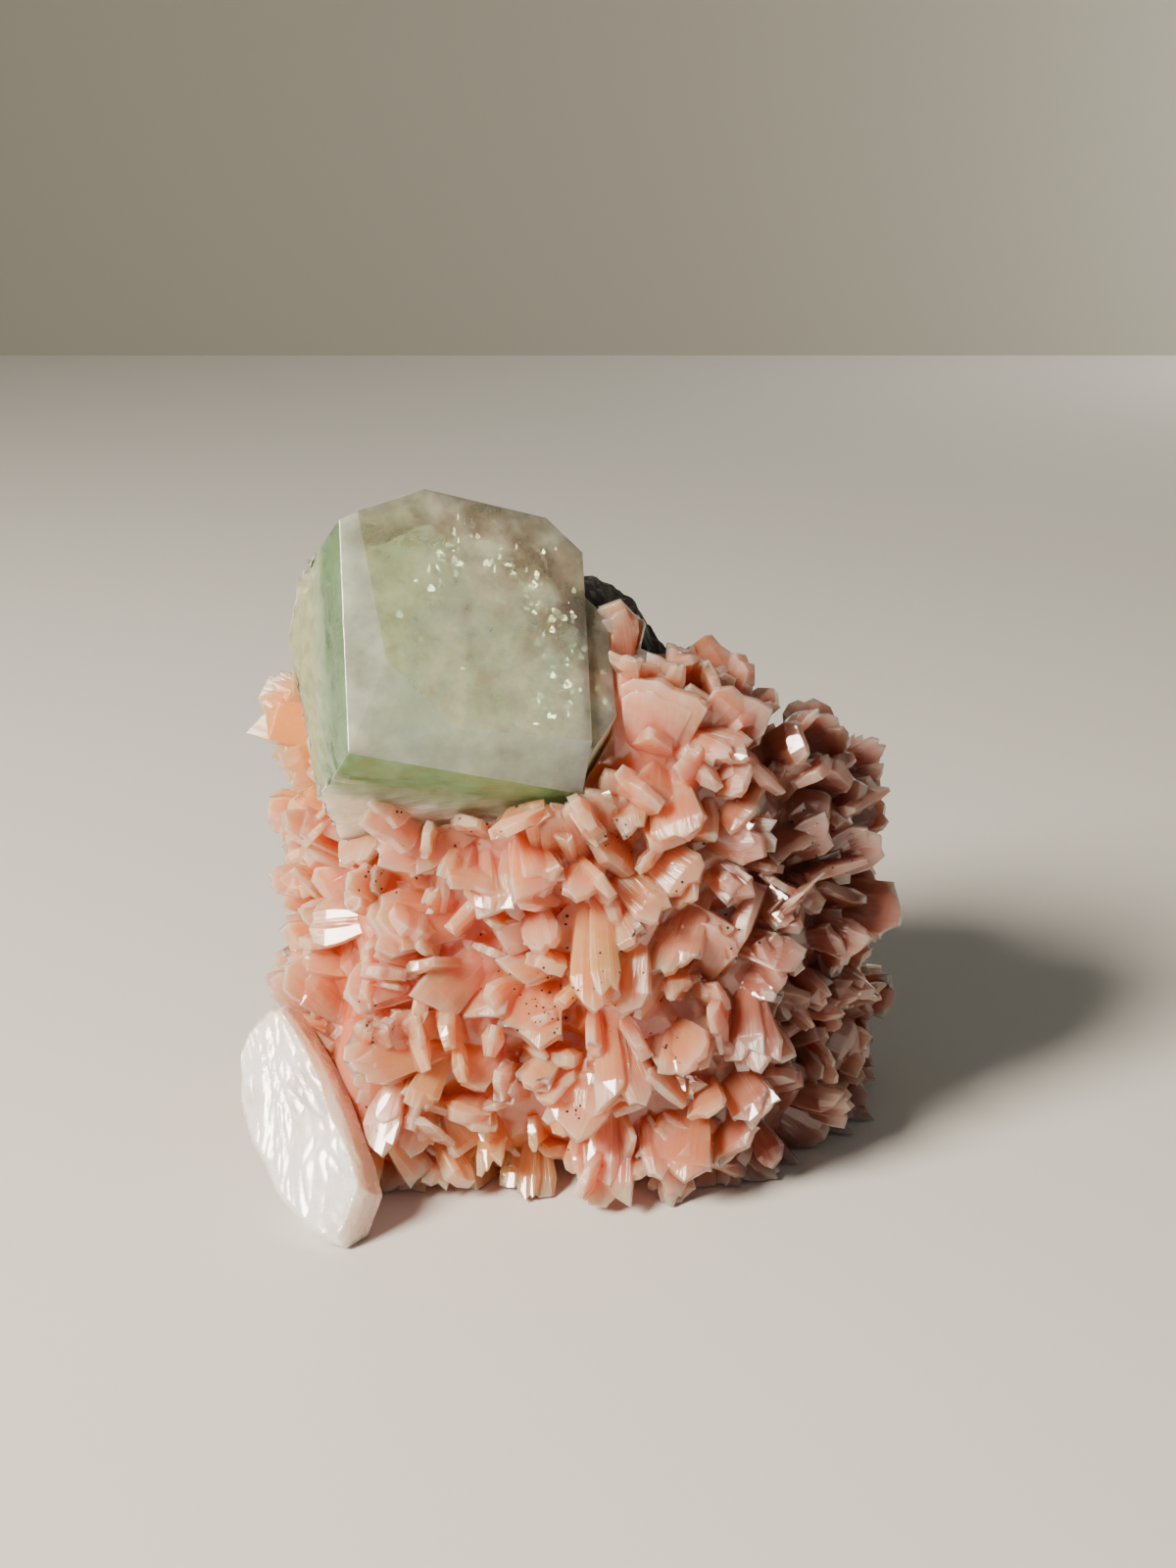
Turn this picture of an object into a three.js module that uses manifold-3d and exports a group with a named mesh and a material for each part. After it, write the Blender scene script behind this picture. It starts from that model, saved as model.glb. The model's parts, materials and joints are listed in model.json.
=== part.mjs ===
// Apophyllite cluster: a pale green apophyllite crystal and a white pearly stilbite crystal, both grown
// on a crust of peach-pink bladed stilbite that wraps a chunk of black basalt.
// Millimetres, +Z up, front towards -Y. The origin is the middle of the rock's flat foot.

import * as THREE from 'three';
import { ConvexGeometry } from 'three/addons/geometries/ConvexGeometry.js';
import { mergeVertices } from 'three/addons/utils/BufferGeometryUtils.js';
import Module from 'manifold-3d';

const wasm = await Module();
wasm.setup();

const vec = (x, y, z) => new THREE.Vector3(x, y, z);

// Driving dimensions

const clearance = 0.3; // between two pieces that touch
const crustFoot = 0.3; // height of the lowest crystal tips over the rock's foot

// A lump is the rounded form inside a set of faces, each [outward direction, a point on the face].
const rockShape = {
  centre: vec(1, 8, 26),
  sharpness: 26,
  roughness: 0.03,
  detail: 4,
  faces: [
    [vec(0, -1, 0.1), vec(0, -8, 25)],
    [vec(0, -1, 0.5), vec(0, -5.5, 38)],
    [vec(0.7, -0.7, 0), vec(14, -5, 25)],
    [vec(-0.7, -0.7, 0), vec(-14, -5, 25)],
    [vec(0.15, 1, 0.12), vec(0, 22, 30)],
    [vec(-0.55, 1, -0.1), vec(-12, 19, 22)],
    [vec(0.8, 1, -0.05), vec(17, 15, 20)],
    [vec(-1, 0.1, 0.1), vec(-22, 6, 25)],
    [vec(1, 0.15, 0.1), vec(22, 6, 20)],
    [vec(0.51, 0, 0.86), vec(11.6, 8, 47.2)],
    [vec(-0.2, 0.1, 1), vec(-1, 8, 54.5)],
    [vec(-0.5, 0.3, 0.8), vec(-14, 10, 49)],
    [vec(-0.45, -0.5, 0.75), vec(-15.7, 0.1, 45.1)],
    [vec(-0.1, 0.8, 0.75), vec(0, 17, 48)],
    [vec(0, 0, -1), vec(0, 6, -3)],
  ],
  knobs: [
    [vec(3.4, 8, 54), 0.13, 0.2],
    [vec(-12, 20, 40), 0.08, 0.3],
    [vec(14, 20, 12), 0.07, 0.35],
    [vec(3, 24, 28), -0.07, 0.3],
  ],
};
const crustShape = {
  centre: vec(-1, -3, 25),
  sharpness: 12,
  roughness: 0.03,
  detail: 3,
  faces: [
    [vec(0, -1, 0.1), vec(0, -16.5, 18)],
    [vec(0.75, -0.66, 0.05), vec(18, -12.5, 22)],
    [vec(1, -0.1, 0.08), vec(25.5, -2, 22)],
    [vec(-1, -0.15, 0.06), vec(-25.8, -3, 30)],
    [vec(-0.8, -0.6, -0.05), vec(-22.5, -11.5, 25)],
    [vec(0, -0.2, -1), vec(0, -8, 1.5)],
    [vec(-0.1, 0.1, 1), vec(-8, 0, 51.5)],
    [vec(0.6, 0, 0.8), vec(11, 0, 47.5)],
    [vec(0, 1, 0.1), vec(0, 10.5, 25)],
  ],
  // swellings, a waist and a hollow: [where, how far out as a share of the radius, reach in radians]
  knobs: [
    [vec(-24, -16, 9), 0.24, 0.26],
    [vec(-4, -17, 40), 0.13, 0.28],
    [vec(27, -4, 38), 0.1, 0.25],
    [vec(3, 0, 52), 0.06, 0.3],
    [vec(-29, -9, 26), -0.07, 0.25],
    [vec(24, -13, 12), -0.12, 0.2],
  ],
};

// The green crystal's own axes: a to its right, b up its front face, c out of that face.
const greenCorner = vec(-20.9, -24, 47.4);
const greenOut = vec(0.33, -0.765, 0.553).normalize();
const greenSeed = vec(0.965, 0.222, -0.136);
const greenFront = 2; // height of the front face over the lower left corner
const greenDepth = 16; // from that corner to the back face

// The white crystal: its long axis, the way its broad face looks, and the outline of that face.
const whiteCentre = vec(-27, -20.4, 9.2);
const whiteUp = vec(-0.285, 0.69, 0.665).normalize();
const whiteLooks = vec(-0.42, -0.7, 0.58);
const whiteThick = 4.6;
const whiteEdge = 0.9; // width of the sloping rim around the broad faces
const whiteOutline = [
  [-1.4, 13.2], [-4.5, 12], [-6.1, 10.2], [-6.5, 7.6], [-7.2, 5.8], [-7.3, 4.9], [-7, 1], [-6.3, -1.3],
  [-5.4, -5.2], [-3.4, -8.9], [-1.2, -11.5], [0.4, -12.5], [1.6, -11.6], [4.2, -8.6], [4.2, -5.2],
  [3.6, -0.2], [3, 4.1], [2.2, 7], [1.2, 10], [0.2, 12.6],
];

// The front crystals are laid out on a 1 mm grid that stands square to this line of sight.
const eye = vec(0, -175, 94.6);
const eyePitch = THREE.MathUtils.degToRad(18.33);
const gridDistance = 185;

// The main blades of the front: root across and up on that grid, tip across and up, how far the tip stands
// out towards the eye, width, thickness, and the turn of the broad face about the blade in degrees.
const frontBlades = [
  // left rim, from the top down
  [-28.5, 8, -34, 8.2, -1, 7, 4, 10], [-28.5, 1, -31.3, 0.8, 1, 2.6, 2, 10],
  [-28.5, -3, -33.4, -3.4, 1, 5, 3, -20], [-28.5, -9.5, -32.6, -9.8, 1, 3.6, 2.4, 20],
  [-27.5, -17.5, -32.6, -17.7, 1.5, 2.8, 2, 0], [-28.5, -21, -32.6, -21.3, 1.5, 3.4, 2.2, 15],
  [-26, -5.5, -25.5, -9.5, 2.5, 4.2, 2.4, 10], [-25, -10, -24.8, -14.4, 3, 4, 2.6, -10],
  [-28.5, -14.4, -24, -15.2, 2, 1.8, 1.8, 0], [-25, -17, -28.6, -16.6, 2.5, 2.6, 2, 20],
  // under the green crystal
  [-14, -5.5, -21.5, -8.5, 2.5, 4.4, 2.4, 10], [-6.5, -2.5, -7.4, -4.8, 5, 6, 2.8, 0],
  [-6, -6.5, -5.2, -12, 3, 4.6, 2.4, -15], [0.5, -7.5, -1.2, -12, 3, 4, 2.6, 10],
  [-12.5, -6, -13.8, -10.4, 2.5, 3.6, 2.4, -20], [3.5, -0.5, 4.8, -5.4, 3, 3.2, 2, 0],
  [-10, -8, -9.4, -13.6, 2.6, 4, 2.4, 25], [-1.5, -6, -3.2, -1.6, 4, 4, 2.4, 0],
  [-4.5, -6, -4.8, -2.2, 4.5, 3.6, 2.4, 15], [1.5, -5, 0.2, -0.5, 4, 4.2, 2.4, -10],
  [3, -3, 2.6, 1.5, 3.5, 3.5, 2.2, 10],
  // middle, left of the tall blade
  [-15, -14.2, -22.6, -14.6, 3, 6.4, 2.8, 10], [-5, -15, -9.8, -16, 2.5, 3.6, 2.2, -20],
  [-5.5, -12.5, -4.2, -17, 3.5, 3.8, 2.4, 15], [-2.5, -17.8, -9, -19.4, 3, 3.2, 1.6, 60],
  [-11.5, -18, -16.8, -23.4, 3, 5, 2.4, -10], [-5, -20.5, -6.3, -27.5, 3.5, 6.6, 3, 10],
  [-19, -20.5, -25, -21, 2.5, 5.2, 2.4, 20], [-15.5, -24.3, -21.8, -25.4, 3, 3.8, 2.4, -15],
  [-16.5, -17.5, -19.5, -19.4, 1.5, 3, 2, 30], [-13.5, -12, -17, -11.4, 2.8, 3.2, 2, -25],
  // the tall blade and its neighbours
  [0.2, -12.5, 0.5, -23.6, 4, 4.4, 2.8, -10], [4, -13.5, 3, -24.4, 3, 6, 2.6, 20],
  [2, -12.3, 4.8, -17.3, 3, 4, 2.2, 10], [3, -9, 7.8, -13.8, 3, 4, 2.2, -20],
  [8, 0.5, 9.8, -6.4, 3.5, 5.4, 2.6, 10], [6, -6.5, 11.6, -10.6, 3, 4.8, 2.4, -10],
  [10.8, -12.5, 7, -19.5, 2.5, 3.6, 2.2, 20], [11.3, -18.8, 13.9, -14.2, 3.5, 5, 2, 0],
  [8.8, -18.3, 9.2, -21.8, 4, 2.8, 2.2, 0], [11, -21.2, 14.4, -21.8, 3, 2.6, 2, 20],
  // lower left
  [-16, -27, -26, -27.8, 3.5, 3.8, 2.2, 10], [-20, -30, -24, -31, 2, 3.2, 2, -20],
  [-14.5, -27, -18, -34, 3.5, 3.2, 2.2, 0], [-19.8, -30, -21.8, -38, 2.5, 3.6, 2, 20],
  [-16, -32.5, -18.2, -38.2, 2, 3.6, 2, -25], [-9.5, -27, -13.5, -30.5, 3, 4.8, 2.6, 10],
  [-11.5, -32, -13, -34.4, 5, 5.2, 3.2, 20], [-14.5, -37.3, -15.8, -41.2, 3, 2.8, 2, 0],
  [-12.5, -36.8, -16, -38, 3, 2.8, 1.8, 30], [-10, -34, -10.5, -40, 3.5, 2.1, 1.8, 0],
  [-6.5, -36.5, -7.8, -42, 3, 3.4, 2, 20], [-5.5, -37, -4.6, -43, 3.2, 3.4, 2, -10],
  [-19, -38.6, -18.6, -42.2, 2, 4.4, 2, 15],
  // lower middle
  [-3, -26.5, -6.5, -31.5, 4, 3.6, 2.2, -15], [1.5, -27, -2.5, -36, 3.5, 6.6, 2.6, 10],
  [2, -24.5, 2.4, -33.5, 4, 3, 2, 15], [3.5, -26, 6, -33, 3.5, 3.8, 2, -15],
  [9, -24.5, 8.4, -30, 3.5, 2.6, 1.6, 0], [11, -24.5, 12.6, -28.5, 3, 3.6, 2.2, 20],
  [8, -30.5, 12.6, -31.2, 2.5, 2.4, 1.8, 0], [9.8, -33, 8.4, -41, 3.5, 7.6, 3, 10],
  [6.4, -34, 7.6, -40.5, 4, 3.2, 2, -20], [8.5, -37, 9.3, -43.7, 1.5, 3.8, 2, 0],
  [2.5, -34, 2.2, -43.5, 2.5, 4.6, 2.2, 15], [-0.6, -36, 0.4, -42.6, 2, 2.4, 1.8, -20],
  // lower right
  [14.4, -29, 17.8, -34.6, 4, 4.6, 2, -25], [16, -20.5, 18.3, -29.4, 4, 4.4, 2.4, 10],
  [15.5, -20.3, 19.4, -21.3, 2.5, 2.1, 1.6, 0], [17.5, -36, 21.8, -42.8, 2.5, 4.4, 2.2, 10],
  [15.5, -38.3, 19.8, -42.8, 1.5, 2.2, 1.6, -20], [12.5, -38, 11.2, -43.1, 1.5, 1.8, 1.4, 0],
  [13.5, -37.5, 15, -43.3, 1.5, 2.8, 1.5, 20], [20, -34, 23.7, -37.4, 2, 2.6, 1.6, 0],
  [20.5, -31.5, 27, -32.6, 3.5, 3.6, 2.2, 25], [25, -33.5, 30.2, -34.9, 1.5, 2.6, 1.6, -10],
  [23, -35, 28, -36.2, 1.5, 1.7, 1.4, 0], [24, -25.5, 28.5, -28, 2.5, 5.6, 2.2, 30],
  [26, -30, 29.7, -30, 1.5, 1.8, 1.4, 0],
  // right, from the bottom up
  [20.5, -22, 27.8, -21, 3.5, 3, 2.4, 10], [27, -21.5, 32, -22, 2, 5, 1.8, -10],
  [22.5, -14.5, 28.8, -16.6, 3, 4.2, 2, 15], [27.2, -18.6, 29.7, -16.5, 1, 1.6, 1.4, 0],
  [24.5, -11.5, 33, -13.4, 2.5, 6, 2.2, -15], [22.5, -8.5, 30, -5.2, 2.5, 5.4, 2.2, 15],
  [19.3, -7.3, 25.3, -4.2, 3, 4, 2.2, 20], [15.3, -16, 22, -18.2, 2.5, 3.8, 2.2, -20],
  [17, -10.5, 21.3, -14.6, 2.5, 3.4, 2, 10], [19.8, -9.8, 24.2, -11.6, 2.5, 2.6, 1.8, 30],
  [12.3, -8.5, 16.9, -12.2, 2.5, 3.8, 2, -10], [12.5, -5.5, 18.9, -7.2, 3, 3.4, 2, 15],
  [15.8, -5.5, 16.4, -1.6, 3, 2.4, 1.6, 0],
  // upper right
  [24, -1.8, 28.3, -0.9, 3.5, 3.6, 2.4, 10], [27, 0.5, 30.4, 0.8, 2.5, 3.2, 2, -15],
  [27.5, 2.5, 30.2, 4.2, 2, 3, 1.8, 10], [27.3, 2, 27.9, 5.3, 1.5, 1.6, 1.4, 0],
  [23.3, 1.6, 25.3, 6.2, 3, 4.4, 2.2, -10], [20.5, 3.5, 23, 6, 2, 2.8, 1.8, 15],
  [17.8, 3.2, 19.4, 6.2, 2, 2.4, 1.6, 0], [19, -1, 21.6, 3, 3.5, 3.8, 2.2, 30],
  [13, 0.6, 16.6, 0.6, 4, 3.6, 2.4, -10], [11.6, 0.4, 10, 3, 4.5, 3.8, 2.6, 20],
  [10.5, 5, 16.8, 3.2, 3.5, 3.4, 2.2, -20], [12.5, 4.5, 17.2, 9.3, 3, 6.2, 2.2, 10],
  [7, 4.5, 8.3, 11, 3.5, 8.4, 2.4, -10], [9.2, 10.5, 9.2, 14.5, 2, 2.5, 2, 10],
  [10.7, 10.5, 10.6, 14.6, 2, 1.5, 1.4, 0], [4.6, 9, 5.6, 13, 1.5, 4, 2.2, 20],
  [3, 13, 2.8, 19.5, 2, 4.2, 2.4, 10], [4.8, 14.6, 5.2, 17.5, 1, 1.6, 1.4, -20],
  [12.2, 8, 13.6, 11.6, 1.5, 3.5, 2, 0], [15.5, 5.5, 16.2, 9, 1.5, 3.2, 2, 10],
  [7.4, 9, 7.6, 13.4, 1.5, 3.2, 2, 0],
];

// The front outline on the same grid, clockwise from the top; scattered blades stay inside it.
const frontOutline = [
  [0.2, 20.5], [5.2, 18.5], [8.2, 14.2], [11, 14.5], [12.5, 11.5], [18, 10], [18.4, 6.8], [25.5, 6.8],
  [30.8, 4], [30.8, -1], [29.2, -9], [33.2, -13], [29.5, -16], [32.2, -22], [28.5, -27], [28.2, -31.5],
  [30, -35.2], [22.5, -37.2], [22.5, -43], [8.8, -43.8], [-21.5, -42.3], [-26, -42], [-30.5, -37],
  [-33, -31], [-33.5, -24], [-32.5, -18], [-30, -16], [-30, -11.5], [-32.5, -10.5], [-31.8, -6.5],
  [-33.5, -3], [-31.2, 0.5], [-34, 8], [-30.8, 12.5], [-20, 20],
];

const bladeSpacing = 4.4;
const bladeTries = 6000;
const bladeLength = [4.8, 8];
const bladeWidth = [3, 5.8];
const bladeThick = [1.6, 2.8];
const bladeRoot = 2; // how deep a blade starts inside the crust
const bladeLean = 0.8;

// Solids

const toSolid = (geometry) => {
  const bare = geometry.index ? geometry.toNonIndexed() : geometry.clone();
  bare.deleteAttribute('normal');
  bare.deleteAttribute('uv');
  const merged = mergeVertices(bare, 1e-4);
  return new wasm.Manifold(new wasm.Mesh({
    numProp: 3,
    vertProperties: new Float32Array(merged.attributes.position.array),
    triVerts: new Uint32Array(merged.index.array),
  }));
};

const toGeometry = (solid) => {
  const { vertProperties, triVerts } = solid.getMesh();
  const geometry = new THREE.BufferGeometry();
  geometry.setAttribute('position', new THREE.BufferAttribute(new Float32Array(vertProperties), 3));
  geometry.setIndex(new THREE.BufferAttribute(new Uint32Array(triVerts), 1));
  const faceted = geometry.toNonIndexed();
  faceted.computeVertexNormals();
  return faceted;
};

// A block far larger than the object, with one face on the plane through the point.
const chiselSize = 400;
const beyondPlane = (direction, point) => {
  const block = new THREE.BoxGeometry(chiselSize, chiselSize, chiselSize);
  block.translate(0, 0, chiselSize / 2);
  block.applyQuaternion(new THREE.Quaternion().setFromUnitVectors(vec(0, 0, 1), direction));
  block.translate(point.x, point.y, point.z);
  return toSolid(block);
};

// Cuts a solid down to a set of faces, each moved outwards by grow.
const cutToFaces = (solid, faces, grow) => faces.reduce((rest, [direction, point]) => {
  const outward = direction.clone().normalize();
  return rest.subtract(beyondPlane(outward, point.clone().addScaledVector(outward, grow)));
}, solid);

const blockAt = (centre, size) => {
  const block = new THREE.BoxGeometry(size, size, size);
  block.translate(centre.x, centre.y, centre.z);
  return toSolid(block);
};

// The largest closed body, without loose chips and sealed hollows.
const mainBody = (solid) => {
  const bodies = solid.decompose();
  const volumes = bodies.map((body) => body.volume());
  return bodies[volumes.indexOf(Math.max(...volumes))];
};

// Repeatable random numbers: a Lehmer generator.
const randomModulus = 2147483647;
const randomFactor = 48271;
const randomFrom = (seed) => {
  let state = seed;
  return () => {
    state = (state * randomFactor) % randomModulus;
    return state / randomModulus;
  };
};
const between = (random, [low, high]) => low + (high - low) * random();
const randomDirection = (random) => {
  const height = 2 * random() - 1;
  const turn = 2 * Math.PI * random();
  const reach = Math.sqrt(1 - height * height);
  return vec(reach * Math.cos(turn), reach * Math.sin(turn), height);
};

// Lumps

const ripple = (d, roughness) => roughness * (
  Math.sin(5.3 * d.x + 2.1 * d.z + 1) + Math.sin(4.1 * d.y - 6.2 * d.z + 2)
  + 0.6 * Math.sin(9.7 * d.z + 7.9 * d.x - 3 * d.y)
);
const makeLump = ({ centre, sharpness, roughness, detail, faces, knobs }) => {
  const planes = faces.map(([direction, point]) => {
    const outward = direction.clone().normalize();
    return { outward, distance: point.clone().sub(centre).dot(outward) };
  });
  const swellings = knobs.map(([place, height, reach]) => (
    { towards: place.clone().sub(centre).normalize(), height, reach }
  ));
  const swelling = (direction) => swellings.reduce(
    (total, { towards, height, reach }) => total + height * Math.exp(-((direction.angleTo(towards) / reach) ** 2)),
    1 + ripple(direction, roughness),
  );
  // 1 on the surface, less inside, more outside
  const gauge = (point) => {
    const away = point.clone().sub(centre);
    const sum = planes.reduce(
      (total, { outward, distance }) => total + Math.max(away.dot(outward) / distance, 0) ** sharpness,
      0,
    );
    return sum ** (1 / sharpness) / swelling(away.normalize());
  };
  const onto = (point) => centre.clone().add(point.clone().sub(centre).divideScalar(gauge(point)));
  const step = 0.01;
  const slope = (point, axis) => (
    gauge(point.clone().addScaledVector(axis, step)) - gauge(point.clone().addScaledVector(axis, -step))
  );
  const normal = (point) => vec(
    slope(point, vec(1, 0, 0)),
    slope(point, vec(0, 1, 0)),
    slope(point, vec(0, 0, 1)),
  ).normalize();
  const solid = (grow) => {
    const ball = new THREE.IcosahedronGeometry(1, detail);
    const places = ball.attributes.position;
    for (let i = 0; i < places.count; i += 1) {
      const direction = vec().fromBufferAttribute(places, i).normalize();
      const place = onto(centre.clone().add(direction)).addScaledVector(direction, grow);
      places.setXYZ(i, place.x, place.y, place.z);
    }
    return toSolid(ball);
  };
  return { centre, gauge, onto, normal, solid };
};

const rock = makeLump(rockShape);
const crust = makeLump(crustShape);

// Basalt matrix, cut flat where it stands

const aboveHeight = (height, solid) => solid.subtract(beyondPlane(vec(0, 0, -1), vec(0, 0, height)));
const basaltSolid = (grow) => rock.solid(grow);

// Apophyllite crystal: a tapered block with a cut corner, and a lower block grown onto its right side

const greenRight = greenSeed.clone().addScaledVector(greenOut, -greenSeed.dot(greenOut)).normalize();
const greenUp = vec().crossVectors(greenOut, greenRight);
const inGreen = (a, b, c) => vec()
  .addScaledVector(greenRight, a)
  .addScaledVector(greenUp, b)
  .addScaledVector(greenOut, c);
const greenPoint = (a, b, c) => inGreen(a, b, c).add(greenCorner);
const greenMiddle = greenPoint(12, 12, -8);
const faceThrough = (p, q, r) => {
  const outward = vec().crossVectors(q.clone().sub(p), r.clone().sub(p));
  if (outward.dot(greenMiddle.clone().sub(p)) > 0) {
    outward.negate();
  }
  return [outward, p];
};

const greenFaces = () => {
  const corner = greenPoint(0, 0, 0);
  const windowLeft = greenPoint(2.8, 8.2, greenFront);
  const windowBottom = greenPoint(9.4, 2.5, greenFront);
  const main = [
    [inGreen(0, 0, 1), windowLeft], // front face
    faceThrough(corner, windowLeft, windowBottom), // cut corner
    faceThrough(corner, windowLeft, greenPoint(0.3, 20.5, greenFront)), // left bevel
    faceThrough(corner, windowBottom, greenPoint(21.3, 2.5, greenFront)), // bottom bevel
    [inGreen(-1, -0.08, 0.12), corner], // left side
    [inGreen(-0.06, -1, 0.2), corner], // bottom side
    [inGreen(-0.5, 1, 0), greenPoint(3.3, 24, greenFront)], // top left
    [inGreen(0.11, 1, 0.05), greenPoint(6, 25.4, greenFront)], // top
    [inGreen(1, 1.15, 0), greenPoint(17.8, 24.1, greenFront)], // top right
    [inGreen(1, 0.03, 0), greenPoint(21.5, 16, 0)], // right side
    [inGreen(0, 0, -1), greenPoint(0, 0, -greenDepth)], // back
    [inGreen(-0.885, -0.246, -0.395), greenPoint(-3.2, 17, -15.3)], // back left
    [inGreen(-0.6, 0.7, -0.8), greenPoint(-3, 20.8, -11.5)], // back top left
  ];
  const ledge = [
    [inGreen(0.04, 0, 1), greenPoint(22, 5, greenFront - 0.6)],
    [inGreen(-1, 0, 0), greenPoint(16, 0, 0)],
    [inGreen(-0.06, -1, 0.2), greenPoint(0, 0.2, 0)],
    faceThrough(greenPoint(0, 0.3, 0), greenPoint(9.4, 2.8, greenFront), greenPoint(21.3, 2.8, greenFront)),
    [inGreen(1, -0.65, 0.3), greenPoint(24.4, 4.6, 0)],
    [inGreen(1, 0.07, 0.05), greenPoint(24.6, 6, 0)],
    [inGreen(0.8, 1, 0.2), greenPoint(23.8, 15.4, 0)],
    [inGreen(0, 0, -1), greenPoint(0, 0, -14)],
  ];
  return [main, ledge];
};
const greenBlock = 90;
const greenSolid = (grow) => {
  const [main, ledge] = greenFaces().map((faces) => cutToFaces(blockAt(greenMiddle, greenBlock), faces, grow));
  return main.add(ledge);
};
const greenReach = (point) => {
  const away = point.clone().sub(greenCorner);
  return { a: away.dot(greenRight), b: away.dot(greenUp), c: away.dot(greenOut) };
};

// White crystal: a thick plate of the outline's shape with a sloping rim

const whiteLook = whiteLooks.clone().addScaledVector(whiteUp, -whiteLooks.dot(whiteUp)).normalize();
const whiteAcross = vec().crossVectors(whiteUp, whiteLook);
const whiteSolid = (grow) => {
  const points = whiteOutline.map(([across, along]) => {
    const out = new THREE.Vector2(across, along);
    return out.setLength(out.length() + grow);
  });
  const plate = new THREE.ExtrudeGeometry(new THREE.Shape(points), {
    depth: whiteThick + 2 * grow - 2 * whiteEdge,
    bevelThickness: whiteEdge,
    bevelSize: whiteEdge,
    bevelOffset: -whiteEdge,
    bevelSegments: 1,
  });
  plate.translate(0, 0, whiteEdge - whiteThick - grow);
  const placed = new THREE.Matrix4().makeBasis(whiteAcross, whiteUp, whiteLook).setPosition(whiteCentre);
  return toSolid(plate.applyMatrix4(placed));
};

// Blades: flat wedges, widest near the end, with a slanted chisel tip

const bladeGeometry = ({ root, tip, look, width, thick, slant }) => {
  const along = tip.clone().sub(root);
  const length = along.length();
  along.divideScalar(length);
  const across = vec().crossVectors(look, along).normalize();
  const through = vec().crossVectors(along, across);
  const at = (right, out, up) => root.clone()
    .addScaledVector(across, right * width)
    .addScaledVector(through, out * thick)
    .addScaledVector(along, up * length);
  const ring = (right, out, up) => [
    at(-right, -out, up), at(right, -out, up), at(right, out, up), at(-right, out, up),
  ];
  return new ConvexGeometry([
    ...ring(0.24, 0.36, 0),
    ...ring(0.5, 0.4, 0.74),
    at(-0.3, 0.06, 1 - Math.max(slant, 0)),
    at(0.34, -0.06, 1 + Math.min(slant, 0)),
  ]);
};

const sightDown = vec(0, Math.cos(eyePitch), -Math.sin(eyePitch));
const sightUp = vec(0, Math.sin(eyePitch), Math.cos(eyePitch));
const sightTo = (across, up) => sightDown.clone()
  .multiplyScalar(gridDistance)
  .addScaledVector(vec(1, 0, 0), across)
  .addScaledVector(sightUp, up);
const sightStep = 0.1;
// Where the line of sight through a grid point meets the crust, or the crust's nearest point to it
const sightOnCrust = (across, up) => {
  const line = sightTo(across, up).normalize();
  let nearest = eye.clone();
  let least = Infinity;
  for (let far = 130; far < 230; far += sightStep) {
    const point = eye.clone().addScaledVector(line, far);
    const gauge = crust.gauge(point);
    if (gauge < least) {
      least = gauge;
      nearest = point;
    }
    if (gauge < 1) {
      break;
    }
  }
  return crust.onto(nearest);
};

const placedBlade = ([rootAcross, rootUp, tipAcross, tipUp, out, width, thick, turn], random) => {
  const foot = sightOnCrust(rootAcross, rootUp);
  const depth = foot.clone().sub(eye).dot(sightDown) - out;
  const tip = sightTo(tipAcross, tipUp).multiplyScalar(depth / gridDistance).add(eye);
  const along = tip.clone().sub(foot).normalize();
  const look = eye.clone().sub(foot).normalize().applyAxisAngle(along, THREE.MathUtils.degToRad(turn));
  const root = foot.addScaledVector(along, -bladeRoot);
  return { root, tip, look, width, thick, slant: 0.16 * (random() - 0.5) };
};

const placedBlades = (random) => frontBlades.map((row) => placedBlade(row, random));

const insideOutline = (point) => {
  const away = point.clone().sub(eye);
  const reach = gridDistance / away.dot(sightDown);
  const across = away.x * reach;
  const up = away.dot(sightUp) * reach;
  return frontOutline.reduce((inside, [x1, y1], i) => {
    const [x0, y0] = frontOutline.at(i - 1);
    const crosses = (y1 > up) !== (y0 > up) && across < x0 + ((x1 - x0) * (up - y0)) / (y1 - y0);
    return crosses ? !inside : inside;
  }, false);
};

const isFree = (foot, tip) => {
  const inRock = rock.gauge(foot) < 1.05;
  const { a, b, c } = greenReach(tip);
  const underGreen = a > -3.6 && a < 26 && b > -3.5 && b < 28 && c > -17.5;
  const away = tip.clone().sub(whiteCentre);
  const nearWhite = Math.abs(away.dot(whiteAcross)) < 7.6 && Math.abs(away.dot(whiteUp)) < 13.4
    && away.dot(whiteLook) > -whiteThick;
  return !inRock && !underGreen && !nearWhite && insideOutline(tip) && tip.z > crustFoot && foot.y < 12;
};

const scatteredBlades = (random, taken) => {
  const feet = taken.map(({ root }) => root);
  const blades = [];
  for (let i = 0; i < bladeTries; i += 1) {
    const foot = crust.onto(crust.centre.clone().add(randomDirection(random)));
    const lean = randomDirection(random);
    const look = randomDirection(random);
    const length = between(random, bladeLength);
    const width = between(random, bladeWidth);
    const thick = between(random, bladeThick);
    const slant = 0.36 * (random() - 0.5);
    const along = crust.normal(foot).addScaledVector(lean, bladeLean).normalize();
    const root = foot.clone().addScaledVector(along, -bladeRoot);
    const tip = foot.clone().addScaledVector(along, length);
    if (isFree(foot, tip) && feet.every((other) => other.distanceTo(root) > bladeSpacing)) {
      feet.push(root);
      blades.push({ root, tip, look, width, thick, slant });
    }
  }
  return blades;
};

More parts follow.
